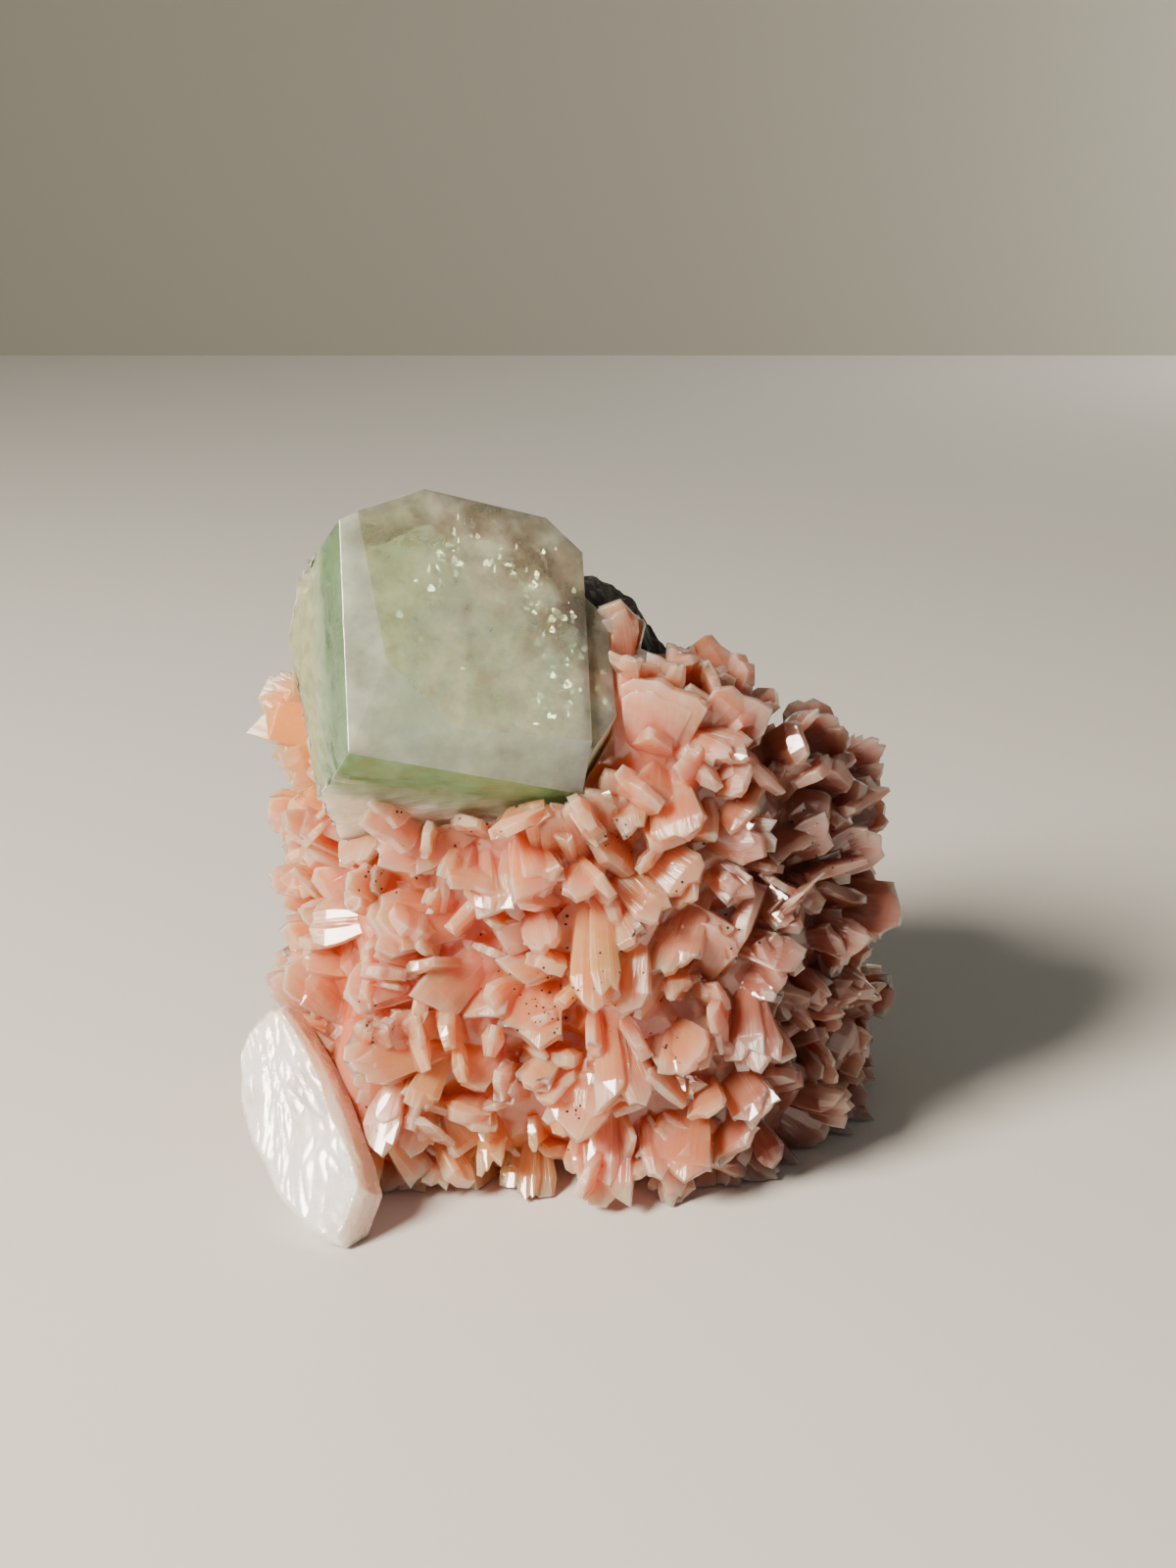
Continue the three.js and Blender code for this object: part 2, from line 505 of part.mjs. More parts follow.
const crustSolid = () => {
  const random = randomFrom(1971);
  const placed = placedBlades(random);
  const blades = [...placed, ...scatteredBlades(random, placed)];
  const grown = blades.reduce(
    (solid, blade) => solid.add(toSolid(bladeGeometry(blade))),
    crust.solid(0),
  );
  const seated = grown
    .subtract(basaltSolid(clearance))
    .subtract(greenSolid(clearance))
    .subtract(whiteSolid(clearance));
  return mainBody(aboveHeight(crustFoot, seated));
};

// Materials

const basalt = new THREE.MeshStandardMaterial({ color: '#1d1b1c', roughness: 0.85, metalness: 0 });
const peachStilbite = new THREE.MeshStandardMaterial({ color: '#dfa088', roughness: 0.35, metalness: 0 });
const greenApophyllite = new THREE.MeshStandardMaterial({
  color: '#bcd6bd',
  roughness: 0.08,
  metalness: 0,
  transparent: true,
  opacity: 0.5,
});
const whiteStilbite = new THREE.MeshStandardMaterial({ color: '#e9dfd8', roughness: 0.4, metalness: 0 });

const piece = (name, solid, material) => {
  const mesh = new THREE.Mesh(toGeometry(solid), material);
  mesh.name = name;
  return mesh;
};

const cluster = new THREE.Group();
cluster.add(
  piece('basalt_matrix', mainBody(aboveHeight(0, basaltSolid(0).subtract(greenSolid(clearance)))), basalt),
  piece('stilbite_crust', crustSolid(), peachStilbite),
  piece('apophyllite_crystal', greenSolid(0), greenApophyllite),
  piece('pearly_stilbite_crystal', aboveHeight(crustFoot, whiteSolid(0)), whiteStilbite),
);

export default cluster;
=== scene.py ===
import json
import math
from functools import partial

import bmesh
import bpy
import numpy as np
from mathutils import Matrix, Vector
from mathutils import noise as bnoise
from mathutils.bvhtree import BVHTree

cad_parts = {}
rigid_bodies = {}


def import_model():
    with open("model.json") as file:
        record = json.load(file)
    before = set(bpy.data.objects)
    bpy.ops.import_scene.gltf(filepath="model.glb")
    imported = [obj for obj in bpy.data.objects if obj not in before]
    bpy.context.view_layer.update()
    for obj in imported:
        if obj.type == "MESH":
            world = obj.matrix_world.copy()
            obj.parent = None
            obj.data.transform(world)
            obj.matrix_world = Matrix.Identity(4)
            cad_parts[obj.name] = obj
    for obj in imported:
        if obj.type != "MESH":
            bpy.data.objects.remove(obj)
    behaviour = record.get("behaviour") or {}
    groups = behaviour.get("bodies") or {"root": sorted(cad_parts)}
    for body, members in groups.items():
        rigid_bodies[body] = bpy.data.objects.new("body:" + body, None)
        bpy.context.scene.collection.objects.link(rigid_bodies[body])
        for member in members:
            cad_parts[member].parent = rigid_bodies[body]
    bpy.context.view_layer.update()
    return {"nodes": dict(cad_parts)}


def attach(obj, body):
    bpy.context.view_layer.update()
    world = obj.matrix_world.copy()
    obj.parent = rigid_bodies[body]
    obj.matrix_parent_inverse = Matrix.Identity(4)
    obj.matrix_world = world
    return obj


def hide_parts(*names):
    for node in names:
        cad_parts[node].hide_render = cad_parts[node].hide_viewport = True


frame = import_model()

cadNodes = frame["nodes"]
mm = 0.001


# Small tools

def unit(vectors):
    vectors = np.asarray(vectors, float)
    return vectors / np.linalg.norm(vectors, axis=-1, keepdims=True)


def smoothNoise(points, size, salt):
    # repeatable noise from -1 to 1 at each point
    offset = Vector((salt * 17.3, salt * 5.1, salt * 9.7))
    return np.array([bnoise.noise(Vector(p) / size + offset) for p in points])


def toLinear(hexColour):
    shares = [int(hexColour[i:i + 2], 16) / 255 for i in (1, 3, 5)]
    return [s / 12.92 if s <= 0.04045 else ((s + 0.055) / 1.055) ** 2.4 for s in shares] + [1.0]


def setSockets(node, inputs):
    # inputs: a value, or an output socket to link, for each input by name or number
    for key, value in inputs.items():
        if isinstance(key, int):
            socket = node.inputs[key]
        else:
            socket = next(s for s in node.inputs if s.name == key and s.enabled)
        if isinstance(value, bpy.types.NodeSocket):
            node.id_data.links.new(value, socket)
        else:
            socket.default_value = value


def addNode(tree, kind, inputs=None, out=0, **settings):
    # gives the output that has the name or number in out
    node = tree.nodes.new(kind)
    for name, value in settings.items():
        setattr(node, name, value)
    setSockets(node, inputs or {})
    if isinstance(out, int):
        return node.outputs[out]
    return next(s for s in node.outputs if s.name == out and s.enabled)


def newMaterial(name):
    # gives the material, a function that adds a node to it, and its shader
    material = bpy.data.materials.new(name)
    material.use_nodes = True
    tree = material.node_tree
    return material, partial(addNode, tree), tree.nodes["Principled BSDF"]


def stepped(add, *rows, onto=None):
    # adds up smooth steps; each row: what drives the step, its low and high ends, the result at each of them
    for value, low, high, first, last in rows:
        step = add("ShaderNodeMapRange", {
            "Value": value, "From Min": low, "From Max": high, "To Min": first, "To Max": last,
        }, "Result", interpolation_type="SMOOTHSTEP")
        onto = step if onto is None else add("ShaderNodeMath", {0: onto, 1: step}, operation="ADD")
    return onto


def painted(add, under, layers):
    # lays colours over each other; each layer: a step that says how much it covers, and its colour
    colour = toLinear(under)
    for *row, over in layers:
        cover = stepped(add, row)
        colour = add("ShaderNodeMix", {"Factor": cover, "A": colour, "B": toLinear(over)}, "Result",
                     data_type="RGBA")
    return colour


def newTree(name, sockets):
    tree = bpy.data.node_groups.new(name, "GeometryNodeTree")
    for direction in ("OUTPUT", "INPUT"):
        tree.interface.new_socket(name="Geometry", in_out=direction, socket_type="NodeSocketGeometry")
    for socketName, kind, value in sockets:
        socket = tree.interface.new_socket(name=socketName, in_out="INPUT", socket_type="NodeSocket" + kind)
        if value is not None:
            socket.default_value = value
    return tree, tree.nodes.new("NodeGroupInput"), tree.nodes.new("NodeGroupOutput")


def newObject(name, mesh, inScene=True):
    piece = bpy.data.objects.new(name, mesh)
    if inScene:
        bpy.context.scene.collection.objects.link(piece)
    return piece


def meshObject(name, points, faces=()):
    mesh = bpy.data.meshes.new(name)
    mesh.from_pydata([tuple(p) for p in points], [], [tuple(f) for f in faces])
    mesh.validate()
    return newObject(name, mesh)


def builtObject(name, build, inScene=True):
    mesh = bpy.data.meshes.new(name)
    build.to_mesh(mesh)
    build.free()
    return newObject(name, mesh, inScene)


def solidOf(node, name):
    # a copy of a CAD solid's mesh, and a bmesh of it with its loose triangles merged
    mesh = cadNodes[node].data.copy()
    mesh.name = name
    build = bmesh.new()
    build.from_mesh(mesh)
    bmesh.ops.remove_doubles(build, verts=build.verts, dist=1e-6)
    return mesh, build


def verticesOf(mesh, field="co"):
    values = np.empty(len(mesh.vertices) * 3)
    mesh.vertices.foreach_get(field, values)
    return values.reshape(-1, 3)


def moveVertices(mesh, places):
    mesh.vertices.foreach_set("co", (places * mm).ravel())


def addSpots(mesh, name, values, domain="POINT"):
    # keeps a number or a vector for each point or corner of the mesh
    values = np.asarray(values, float)
    kind, field = ("FLOAT", "value") if values.ndim == 1 else ("FLOAT_VECTOR", "vector")
    mesh.attributes.new(name, kind, domain).data.foreach_set(field, values.ravel())


def surfaceOf(mesh):
    return BVHTree.FromPolygons([v.co for v in mesh.vertices], [face.vertices for face in mesh.polygons])


def bakeModifier(piece, kind, inputs=None, **settings):
    # adds a modifier, with its tree's inputs by name, and makes the result the piece's own mesh
    modifier = piece.modifiers.new("shape", kind)
    for name, value in settings.items():
        setattr(modifier, name, value)
    if inputs:
        identifiers = {item.name: item.identifier for item in modifier.node_group.interface.items_tree
                       if item.item_type == "SOCKET" and item.in_out == "INPUT"}
        for name, value in inputs.items():
            modifier[identifiers[name]] = value
    evaluated = piece.evaluated_get(bpy.context.evaluated_depsgraph_get())
    mesh = bpy.data.meshes.new_from_object(evaluated)
    piece.modifiers.clear()
    old = piece.data
    piece.data = mesh
    bpy.data.meshes.remove(old)


def dropObject(piece):
    mesh = piece.data
    bpy.data.objects.remove(piece)
    bpy.data.meshes.remove(mesh)


def cutFlat(piece, low, mainOnly):
    # closes the piece with a flat face at the given height, and can drop all but its main body
    build = bmesh.new()
    build.from_mesh(piece.data)
    cut = bmesh.ops.bisect_plane(
        build, geom=build.verts[:] + build.edges[:] + build.faces[:], dist=1e-7,
        plane_co=(0, 0, low * mm), plane_no=(0, 0, -1), clear_outer=True,
    )
    edges = [e for e in cut["geom_cut"] if isinstance(e, bmesh.types.BMEdge)]
    bmesh.ops.holes_fill(build, edges=edges, sides=0)
    if mainOnly:
        for body in bodiesOf(build)[:-1]:
            bmesh.ops.delete(build, geom=body, context="VERTS")
    build.to_mesh(piece.data)
    build.free()


def bodiesOf(build):
    # the points of each separate body, the largest body last
    unseen = set(build.verts)
    bodies = []
    while unseen:
        stack = [unseen.pop()]
        body = []
        while stack:
            vertex = stack.pop()
            body.append(vertex)
            for edge in vertex.link_edges:
                other = edge.other_vert(vertex)
                if other in unseen:
                    unseen.remove(other)
                    stack.append(other)
        bodies.append(body)
    return sorted(bodies, key=len)


def mount(piece, node=None, material=None):
    # node: the solid that the piece stands for
    if material:
        piece.data.materials.clear()
        piece.data.materials.append(material)
    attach(piece, "root")
    if node:
        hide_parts(node)
    print(piece.name + ":", sum(len(face.vertices) - 2 for face in piece.data.polygons), "triangles")


# Camera

viewPoint = {
    "eye": (0, -175, 94.6),
    "pitch": 18.33,
    "focal": 1850,
    "pictureHeight": 1600,  # in the pixels that the focal length is in
    "gridDistance": 185,  # how far ahead the front's 1 mm grid stands
    "crustReach": (130, 230),  # a line of sight meets the crust between these distances
    "crustStep": 0.1,
}


def addCamera():
    data = bpy.data.cameras.new("camera")
    data.lens = viewPoint["focal"] / viewPoint["pictureHeight"] * data.sensor_width
    camera = bpy.data.objects.new("camera", data)
    camera.location = Vector(viewPoint["eye"]) * mm
    camera.rotation_euler = (math.radians(90 - viewPoint["pitch"]), 0, 0)
    bpy.context.scene.collection.objects.link(camera)
    bpy.context.scene.camera = camera


# Floor, backdrop and light, in metres

studio = {
    "reach": 1.6,
    "wallPlace": 0.9,
    "wallFoot": -0.01,
    # colour and roughness
    "floor": ("#d6d5d0", 0.6),
    "backdrop": ("#8c8a80", 0.9),
    "airColour": "#c9c8c2",
    "airStrength": 0.23,
    # name: place, size, aim, watts, colour
    "lamps": {
        "key": ((-0.44, -0.34, 0.4), 0.24, (0, 0, 0.03), 14.2, "#fff1e0"),
        "fill": ((0.1, -0.6, 0.35), 0.5, (0, 0, 0.03), 0.15, "#e9ecf2"),
        "wall": ((0.75, 0.6, 0.25), 0.3, (0.55, 0.9, 0.2), 6, "#fbf6ec"),
    },
}


def addStage():
    reach, wall, foot = (studio[name] for name in ("reach", "wallPlace", "wallFoot"))
    sheets = {
        "floor": [(-reach, -reach, 0), (reach, -reach, 0), (reach, reach, 0), (-reach, reach, 0)],
        "backdrop": [(-reach, wall, foot), (reach, wall, foot), (reach, wall, reach), (-reach, wall, reach)],
    }
    for name, corners in sheets.items():
        sheet = meshObject(name, corners, [(0, 1, 2, 3)])
        colour, roughness = studio[name]
        material, _, shader = newMaterial(name)
        setSockets(shader, {"Base Color": toLinear(colour), "Roughness": roughness})
        sheet.data.materials.append(material)


def addLights():
    for name, (place, size, aim, watts, colour) in studio["lamps"].items():
        data = bpy.data.lights.new(name, "AREA")
        data.shape = "DISK"
        data.size = size
        data.energy = watts
        data.color = toLinear(colour)[:3]
        lamp = bpy.data.objects.new(name, data)
        lamp.location = place
        lamp.rotation_euler = (Vector(aim) - Vector(place)).to_track_quat("-Z", "Y").to_euler()
        bpy.context.scene.collection.objects.link(lamp)
    world = bpy.data.worlds.new("air")
    world.use_nodes = True
    setSockets(world.node_tree.nodes["Background"], {
        "Color": toLinear(studio["airColour"]), "Strength": studio["airStrength"],
    })
    bpy.context.scene.world = world


# Lumps: the rounded form inside a set of faces, each (outward direction, a point on the face),
# with knobs or dents, each (the way to it, height, reach in radians)

rockShape = {
    "centre": np.array([1.0, 8.0, 26.0]),
    "sharpness": 26,
    "roughness": 0.03,
    "faces": [
        ((0, -1, 0.1), (0, -8, 25)), ((0, -1, 0.5), (0, -5.5, 38)), ((0.7, -0.7, 0), (14, -5, 25)),
        ((-0.7, -0.7, 0), (-14, -5, 25)), ((0.15, 1, 0.12), (0, 22, 30)), ((-0.55, 1, -0.1), (-12, 19, 22)),
        ((0.8, 1, -0.05), (17, 15, 20)), ((-1, 0.1, 0.1), (-22, 6, 25)), ((1, 0.15, 0.1), (22, 6, 20)),
        ((0.51, 0, 0.86), (11.6, 8, 47.2)), ((-0.2, 0.1, 1), (-1, 8, 54.5)), ((-0.5, 0.3, 0.8), (-14, 10, 49)),
        ((-0.45, -0.5, 0.75), (-15.7, 0.1, 45.1)), ((-0.1, 0.8, 0.75), (0, 17, 48)), ((0, 0, -1), (0, 6, -3)),
    ],
    "knobs": [
        ((3.4, 8, 54), 0.13, 0.2), ((-12, 20, 40), 0.08, 0.3), ((14, 20, 12), 0.07, 0.35),
        ((3, 24, 28), -0.07, 0.3),
    ],
}
crustShape = {
    "centre": np.array([-1.0, -3.0, 25.0]),
    "sharpness": 12,
    "roughness": 0.03,
    "faces": [
        ((0, -1, 0.1), (0, -16.5, 18)), ((0.75, -0.66, 0.05), (18, -12.5, 22)),
        ((1, -0.1, 0.08), (25.5, -2, 22)),
        ((-1, -0.15, 0.06), (-25.8, -3, 30)), ((-0.8, -0.6, -0.05), (-22.5, -11.5, 25)),
        ((0, -0.2, -1), (0, -8, 1.5)), ((-0.1, 0.1, 1), (-8, 0, 51.5)), ((0.6, 0, 0.8), (11, 0, 47.5)),
        ((0, 1, 0.1), (0, 10.5, 25)),
    ],
    "knobs": [
        ((-24, -16, 9), 0.24, 0.26), ((-4, -17, 40), 0.13, 0.28), ((27, -4, 38), 0.1, 0.25),
        ((3, 0, 52), 0.06, 0.3), ((-29, -9, 26), -0.07, 0.25), ((24, -13, 12), -0.12, 0.2),
    ],
}


def gauge(shape, points):
    # 1 on the surface, less inside, more outside
    centre = shape["centre"]
    away = points - centre
    total = 0
    for direction, point in shape["faces"]:
        outward = unit(direction)
        distance = (point - centre) @ outward
        total = total + np.maximum(away @ outward / distance, 0) ** shape["sharpness"]
    toward = unit(away)
    x, y, z = toward[..., 0], toward[..., 1], toward[..., 2]
    ripple = np.sin(5.3 * x + 2.1 * z + 1) + np.sin(4.1 * y - 6.2 * z + 2)
    ripple = ripple + 0.6 * np.sin(9.7 * z + 7.9 * x - 3 * y)
    swelling = 1 + shape["roughness"] * ripple
    for place, height, reach in shape["knobs"]:
        angle = np.arccos(np.clip(toward @ unit(place - centre), -1, 1))
        swelling = swelling + height * np.exp(-(angle / reach) ** 2)
    return total ** (1 / shape["sharpness"]) / swelling


def onto(shape, points):
    # the points moved to the surface, straight out from the centre
    return shape["centre"] + (points - shape["centre"]) / gauge(shape, points)[..., None]


def heightOver(shape, points):
    return (1 - 1 / gauge(shape, points)) * np.linalg.norm(points - shape["centre"], axis=1)


def outwardOf(shape, points):
    steps = 0.01 * np.eye(3)
    slopes = [gauge(shape, points + step) - gauge(shape, points - step) for step in steps]
    return unit(np.stack(slopes, axis=-1))


def lumpObject(name, shape, subdivisions):
    build = bmesh.new()
    bmesh.ops.create_icosphere(build, subdivisions=subdivisions, radius=1)
    places = onto(shape, np.array([v.co for v in build.verts]) + shape["centre"])
    for vertex, place in zip(build.verts, places):
        vertex.co = Vector(place) * mm
    return builtObject(name, build)


# The green crystal's own axes (a right, b up its front face, c out of it) and the white crystal's

greenCorner = np.array([-20.9, -24, 47.4])
greenOut = unit([0.33, -0.765, 0.553])
greenSeed = np.array([0.965, 0.222, -0.136])
greenRight = unit(greenSeed - (greenSeed @ greenOut) * greenOut)
greenUp = np.cross(greenOut, greenRight)
greenMiddle = greenCorner + 12 * greenRight + 12 * greenUp - 8 * greenOut
whiteCentre = np.array([-27, -20.4, 9.2])
whiteUp = unit([-0.285, 0.69, 0.665])
whiteSeed = np.array([-0.42, -0.7, 0.58])
whiteLook = unit(whiteSeed - (whiteSeed @ whiteUp) * whiteUp)
whiteAcross = np.cross(whiteUp, whiteLook)
whiteThick = 4.6


# Blades of the front, on a 1 mm grid square to the line of sight: root across and up, tip across and up,
# how far the tip stands out, width, thickness, and the turn of the broad face in degrees

frontBlades = [
    # left rim, from the top down
    (-28.5, 8, -34, 8.2, -1, 7, 4, 10), (-28.5, 1, -31.3, 0.8, 1, 2.6, 2, 10),
    (-28.5, -3, -33.4, -3.4, 1, 5, 3, -20), (-28.5, -9.5, -32.6, -9.8, 1, 3.6, 2.4, 20),
    (-27.5, -17.5, -32.6, -17.7, 1.5, 2.8, 2, 0), (-28.5, -21, -32.6, -21.3, 1.5, 3.4, 2.2, 15),
    (-26, -5.5, -25.5, -9.5, 2.5, 4.2, 2.4, 10), (-25, -10, -24.8, -14.4, 3, 4, 2.6, -10),
    (-28.5, -14.4, -24, -15.2, 2, 1.8, 1.8, 0), (-25, -17, -28.6, -16.6, 2.5, 2.6, 2, 20),
    # under the green crystal
    (-14, -5.5, -21.5, -8.5, 2.5, 4.4, 2.4, 10), (-6.5, -2.5, -7.4, -4.8, 5, 6, 2.8, 0),
    (-6, -6.5, -5.2, -12, 3, 4.6, 2.4, -15), (0.5, -7.5, -1.2, -12, 3, 4, 2.6, 10),
    (-12.5, -6, -13.8, -10.4, 2.5, 3.6, 2.4, -20), (3.5, -0.5, 4.8, -5.4, 3, 3.2, 2, 0),
    (-10, -8, -9.4, -13.6, 2.6, 4, 2.4, 25), (-1.5, -6, -3.2, -1.6, 4, 4, 2.4, 0),
    (-4.5, -6, -4.8, -2.2, 4.5, 3.6, 2.4, 15), (1.5, -5, 0.2, -0.5, 4, 4.2, 2.4, -10),
    (3, -3, 2.6, 1.5, 3.5, 3.5, 2.2, 10),
    # middle, left of the tall blade
    (-15, -14.2, -22.6, -14.6, 3, 6.4, 2.8, 10), (-5, -15, -9.8, -16, 2.5, 3.6, 2.2, -20),
    (-5.5, -12.5, -4.2, -17, 3.5, 3.8, 2.4, 15), (-2.5, -17.8, -9, -19.4, 3, 3.2, 1.6, 60),
    (-11.5, -18, -16.8, -23.4, 3, 5, 2.4, -10), (-5, -20.5, -6.3, -27.5, 3.5, 6.6, 3, 10),
    (-19, -20.5, -25, -21, 2.5, 5.2, 2.4, 20), (-15.5, -24.3, -21.8, -25.4, 3, 3.8, 2.4, -15),
    (-16.5, -17.5, -19.5, -19.4, 1.5, 3, 2, 30), (-13.5, -12, -17, -11.4, 2.8, 3.2, 2, -25),
    # the tall blade and its neighbours
    (0.2, -12.5, 0.5, -23.6, 4, 4.4, 2.8, -10), (4, -13.5, 3, -24.4, 3, 6, 2.6, 20),
    (2, -12.3, 4.8, -17.3, 3, 4, 2.2, 10), (3, -9, 7.8, -13.8, 3, 4, 2.2, -20),
    (8, 0.5, 9.8, -6.4, 3.5, 5.4, 2.6, 10), (6, -6.5, 11.6, -10.6, 3, 4.8, 2.4, -10),
    (10.8, -12.5, 7, -19.5, 2.5, 3.6, 2.2, 20), (11.3, -18.8, 13.9, -14.2, 3.5, 5, 2, 0),
    (8.8, -18.3, 9.2, -21.8, 4, 2.8, 2.2, 0), (11, -21.2, 14.4, -21.8, 3, 2.6, 2, 20),
    # lower left
    (-16, -27, -26, -27.8, 3.5, 3.8, 2.2, 10), (-20, -30, -24, -31, 2, 3.2, 2, -20),
    (-14.5, -27, -18, -34, 3.5, 3.2, 2.2, 0), (-19.8, -30, -21.8, -38, 2.5, 3.6, 2, 20),
    (-16, -32.5, -18.2, -38.2, 2, 3.6, 2, -25), (-9.5, -27, -13.5, -30.5, 3, 4.8, 2.6, 10),
    (-11.5, -32, -13, -34.4, 5, 5.2, 3.2, 20), (-14.5, -37.3, -15.8, -41.2, 3, 2.8, 2, 0),
    (-12.5, -36.8, -16, -38, 3, 2.8, 1.8, 30), (-10, -34, -10.5, -40, 3.5, 2.1, 1.8, 0),
    (-6.5, -36.5, -7.8, -42, 3, 3.4, 2, 20), (-5.5, -37, -4.6, -43, 3.2, 3.4, 2, -10),
    (-19, -38.6, -18.6, -42.2, 2, 4.4, 2, 15),
    # lower middle
    (-3, -26.5, -6.5, -31.5, 4, 3.6, 2.2, -15), (1.5, -27, -2.5, -36, 3.5, 6.6, 2.6, 10),
    (2, -24.5, 2.4, -33.5, 4, 3, 2, 15), (3.5, -26, 6, -33, 3.5, 3.8, 2, -15),
    (9, -24.5, 8.4, -30, 3.5, 2.6, 1.6, 0), (11, -24.5, 12.6, -28.5, 3, 3.6, 2.2, 20),
    (8, -30.5, 12.6, -31.2, 2.5, 2.4, 1.8, 0), (9.8, -33, 8.4, -41, 3.5, 7.6, 3, 10),
    (6.4, -34, 7.6, -40.5, 4, 3.2, 2, -20), (8.5, -37, 9.3, -43.7, 1.5, 3.8, 2, 0),
    (2.5, -34, 2.2, -43.5, 2.5, 4.6, 2.2, 15), (-0.6, -36, 0.4, -42.6, 2, 2.4, 1.8, -20),
    # lower right
    (14.4, -29, 17.8, -34.6, 4, 4.6, 2, -25), (16, -20.5, 18.3, -29.4, 4, 4.4, 2.4, 10),
    (15.5, -20.3, 19.4, -21.3, 2.5, 2.1, 1.6, 0), (17.5, -36, 21.8, -42.8, 2.5, 4.4, 2.2, 10),
    (15.5, -38.3, 19.8, -42.8, 1.5, 2.2, 1.6, -20), (12.5, -38, 11.2, -43.1, 1.5, 1.8, 1.4, 0),
    (13.5, -37.5, 15, -43.3, 1.5, 2.8, 1.5, 20), (20, -34, 23.7, -37.4, 2, 2.6, 1.6, 0),
    (20.5, -31.5, 27, -32.6, 3.5, 3.6, 2.2, 25), (25, -33.5, 30.2, -34.9, 1.5, 2.6, 1.6, -10),
    (23, -35, 28, -36.2, 1.5, 1.7, 1.4, 0), (24, -25.5, 28.5, -28, 2.5, 5.6, 2.2, 30),
    (26, -30, 29.7, -30, 1.5, 1.8, 1.4, 0),
    # right, from the bottom up
    (20.5, -22, 27.8, -21, 3.5, 3, 2.4, 10), (27, -21.5, 32, -22, 2, 5, 1.8, -10),
    (22.5, -14.5, 28.8, -16.6, 3, 4.2, 2, 15), (27.2, -18.6, 29.7, -16.5, 1, 1.6, 1.4, 0),
    (24.5, -11.5, 33, -13.4, 2.5, 6, 2.2, -15), (22.5, -8.5, 30, -5.2, 2.5, 5.4, 2.2, 15),
    (19.3, -7.3, 25.3, -4.2, 3, 4, 2.2, 20), (15.3, -16, 22, -18.2, 2.5, 3.8, 2.2, -20),
    (17, -10.5, 21.3, -14.6, 2.5, 3.4, 2, 10), (19.8, -9.8, 24.2, -11.6, 2.5, 2.6, 1.8, 30),
    (12.3, -8.5, 16.9, -12.2, 2.5, 3.8, 2, -10), (12.5, -5.5, 18.9, -7.2, 3, 3.4, 2, 15),
    (15.8, -5.5, 16.4, -1.6, 3, 2.4, 1.6, 0),
    # upper right
    (24, -1.8, 28.3, -0.9, 3.5, 3.6, 2.4, 10), (27, 0.5, 30.4, 0.8, 2.5, 3.2, 2, -15),
    (27.5, 2.5, 30.2, 4.2, 2, 3, 1.8, 10), (27.3, 2, 27.9, 5.3, 1.5, 1.6, 1.4, 0),
    (23.3, 1.6, 25.3, 6.2, 3, 4.4, 2.2, -10), (20.5, 3.5, 23, 6, 2, 2.8, 1.8, 15),
    (17.8, 3.2, 19.4, 6.2, 2, 2.4, 1.6, 0), (19, -1, 21.6, 3, 3.5, 3.8, 2.2, 30),
    (13, 0.6, 16.6, 0.6, 4, 3.6, 2.4, -10), (11.6, 0.4, 10, 3, 4.5, 3.8, 2.6, 20),
    (10.5, 5, 16.8, 3.2, 3.5, 3.4, 2.2, -20), (12.5, 4.5, 17.2, 9.3, 3, 6.2, 2.2, 10),
    (7, 4.5, 8.3, 11, 3.5, 8.4, 2.4, -10), (9.2, 10.5, 9.2, 14.5, 2, 2.5, 2, 10),
    (10.7, 10.5, 10.6, 14.6, 2, 1.5, 1.4, 0), (4.6, 9, 5.6, 13, 1.5, 4, 2.2, 20),
    (3, 13, 2.8, 19.5, 2, 4.2, 2.4, 10), (4.8, 14.6, 5.2, 17.5, 1, 1.6, 1.4, -20),
    (12.2, 8, 13.6, 11.6, 1.5, 3.5, 2, 0), (15.5, 5.5, 16.2, 9, 1.5, 3.2, 2, 10),
    (7.4, 9, 7.6, 13.4, 1.5, 3.2, 2, 0),
]
# The front outline on the same grid, clockwise from the top; scattered blades stay inside it
frontOutline = [
    (0.2, 20.5), (5.2, 18.5), (8.2, 14.2), (11, 14.5), (12.5, 11.5), (18, 10), (18.4, 6.8), (25.5, 6.8),
    (30.8, 4), (30.8, -1), (29.2, -9), (33.2, -13), (29.5, -16), (32.2, -22), (28.5, -27), (28.2, -31.5),
    (30, -35.2), (22.5, -37.2), (22.5, -43), (8.8, -43.8), (-21.5, -42.3), (-26, -42), (-30.5, -37),
    (-33, -31), (-33.5, -24), (-32.5, -18), (-30, -16), (-30, -11.5), (-32.5, -10.5), (-31.8, -6.5),
    (-33.5, -3), (-31.2, 0.5), (-34, 8), (-30.8, 12.5), (-20, 20),
]

crustBlades = {
    "seed": 1971,
    "tries": 6000,
    "spacing": 4.4,
    "length": (4.8, 8),
    "width": (3, 5.8),
    "thick": (1.6, 2.8),
    "root": 2,
    "lean": 0.8,
    "foot": 0.3,
    "farthestBack": 12,
    "offRock": 1.05,  # how far a root is from the rock's centre, as a share of the rock's own reach
    # no blade ends here: low and high along the green crystal's a, b and c, and both ways on the white crystal
    "greenClear": ((-3.6, 26), (-3.5, 28), (-17.5, math.inf)),
    "whiteClear": (7.6, 13.4),
}

eye = np.array(viewPoint["eye"], float)
keyLamp = np.array(studio["lamps"]["key"][0]) / mm
sightPitch = math.radians(viewPoint["pitch"])
sightAhead = np.array([0, math.cos(sightPitch), -math.sin(sightPitch)])
sightUp = np.array([0, math.sin(sightPitch), math.cos(sightPitch)])


def sightTo(across, up):
    return viewPoint["gridDistance"] * sightAhead + across * np.array([1, 0, 0]) + up * sightUp


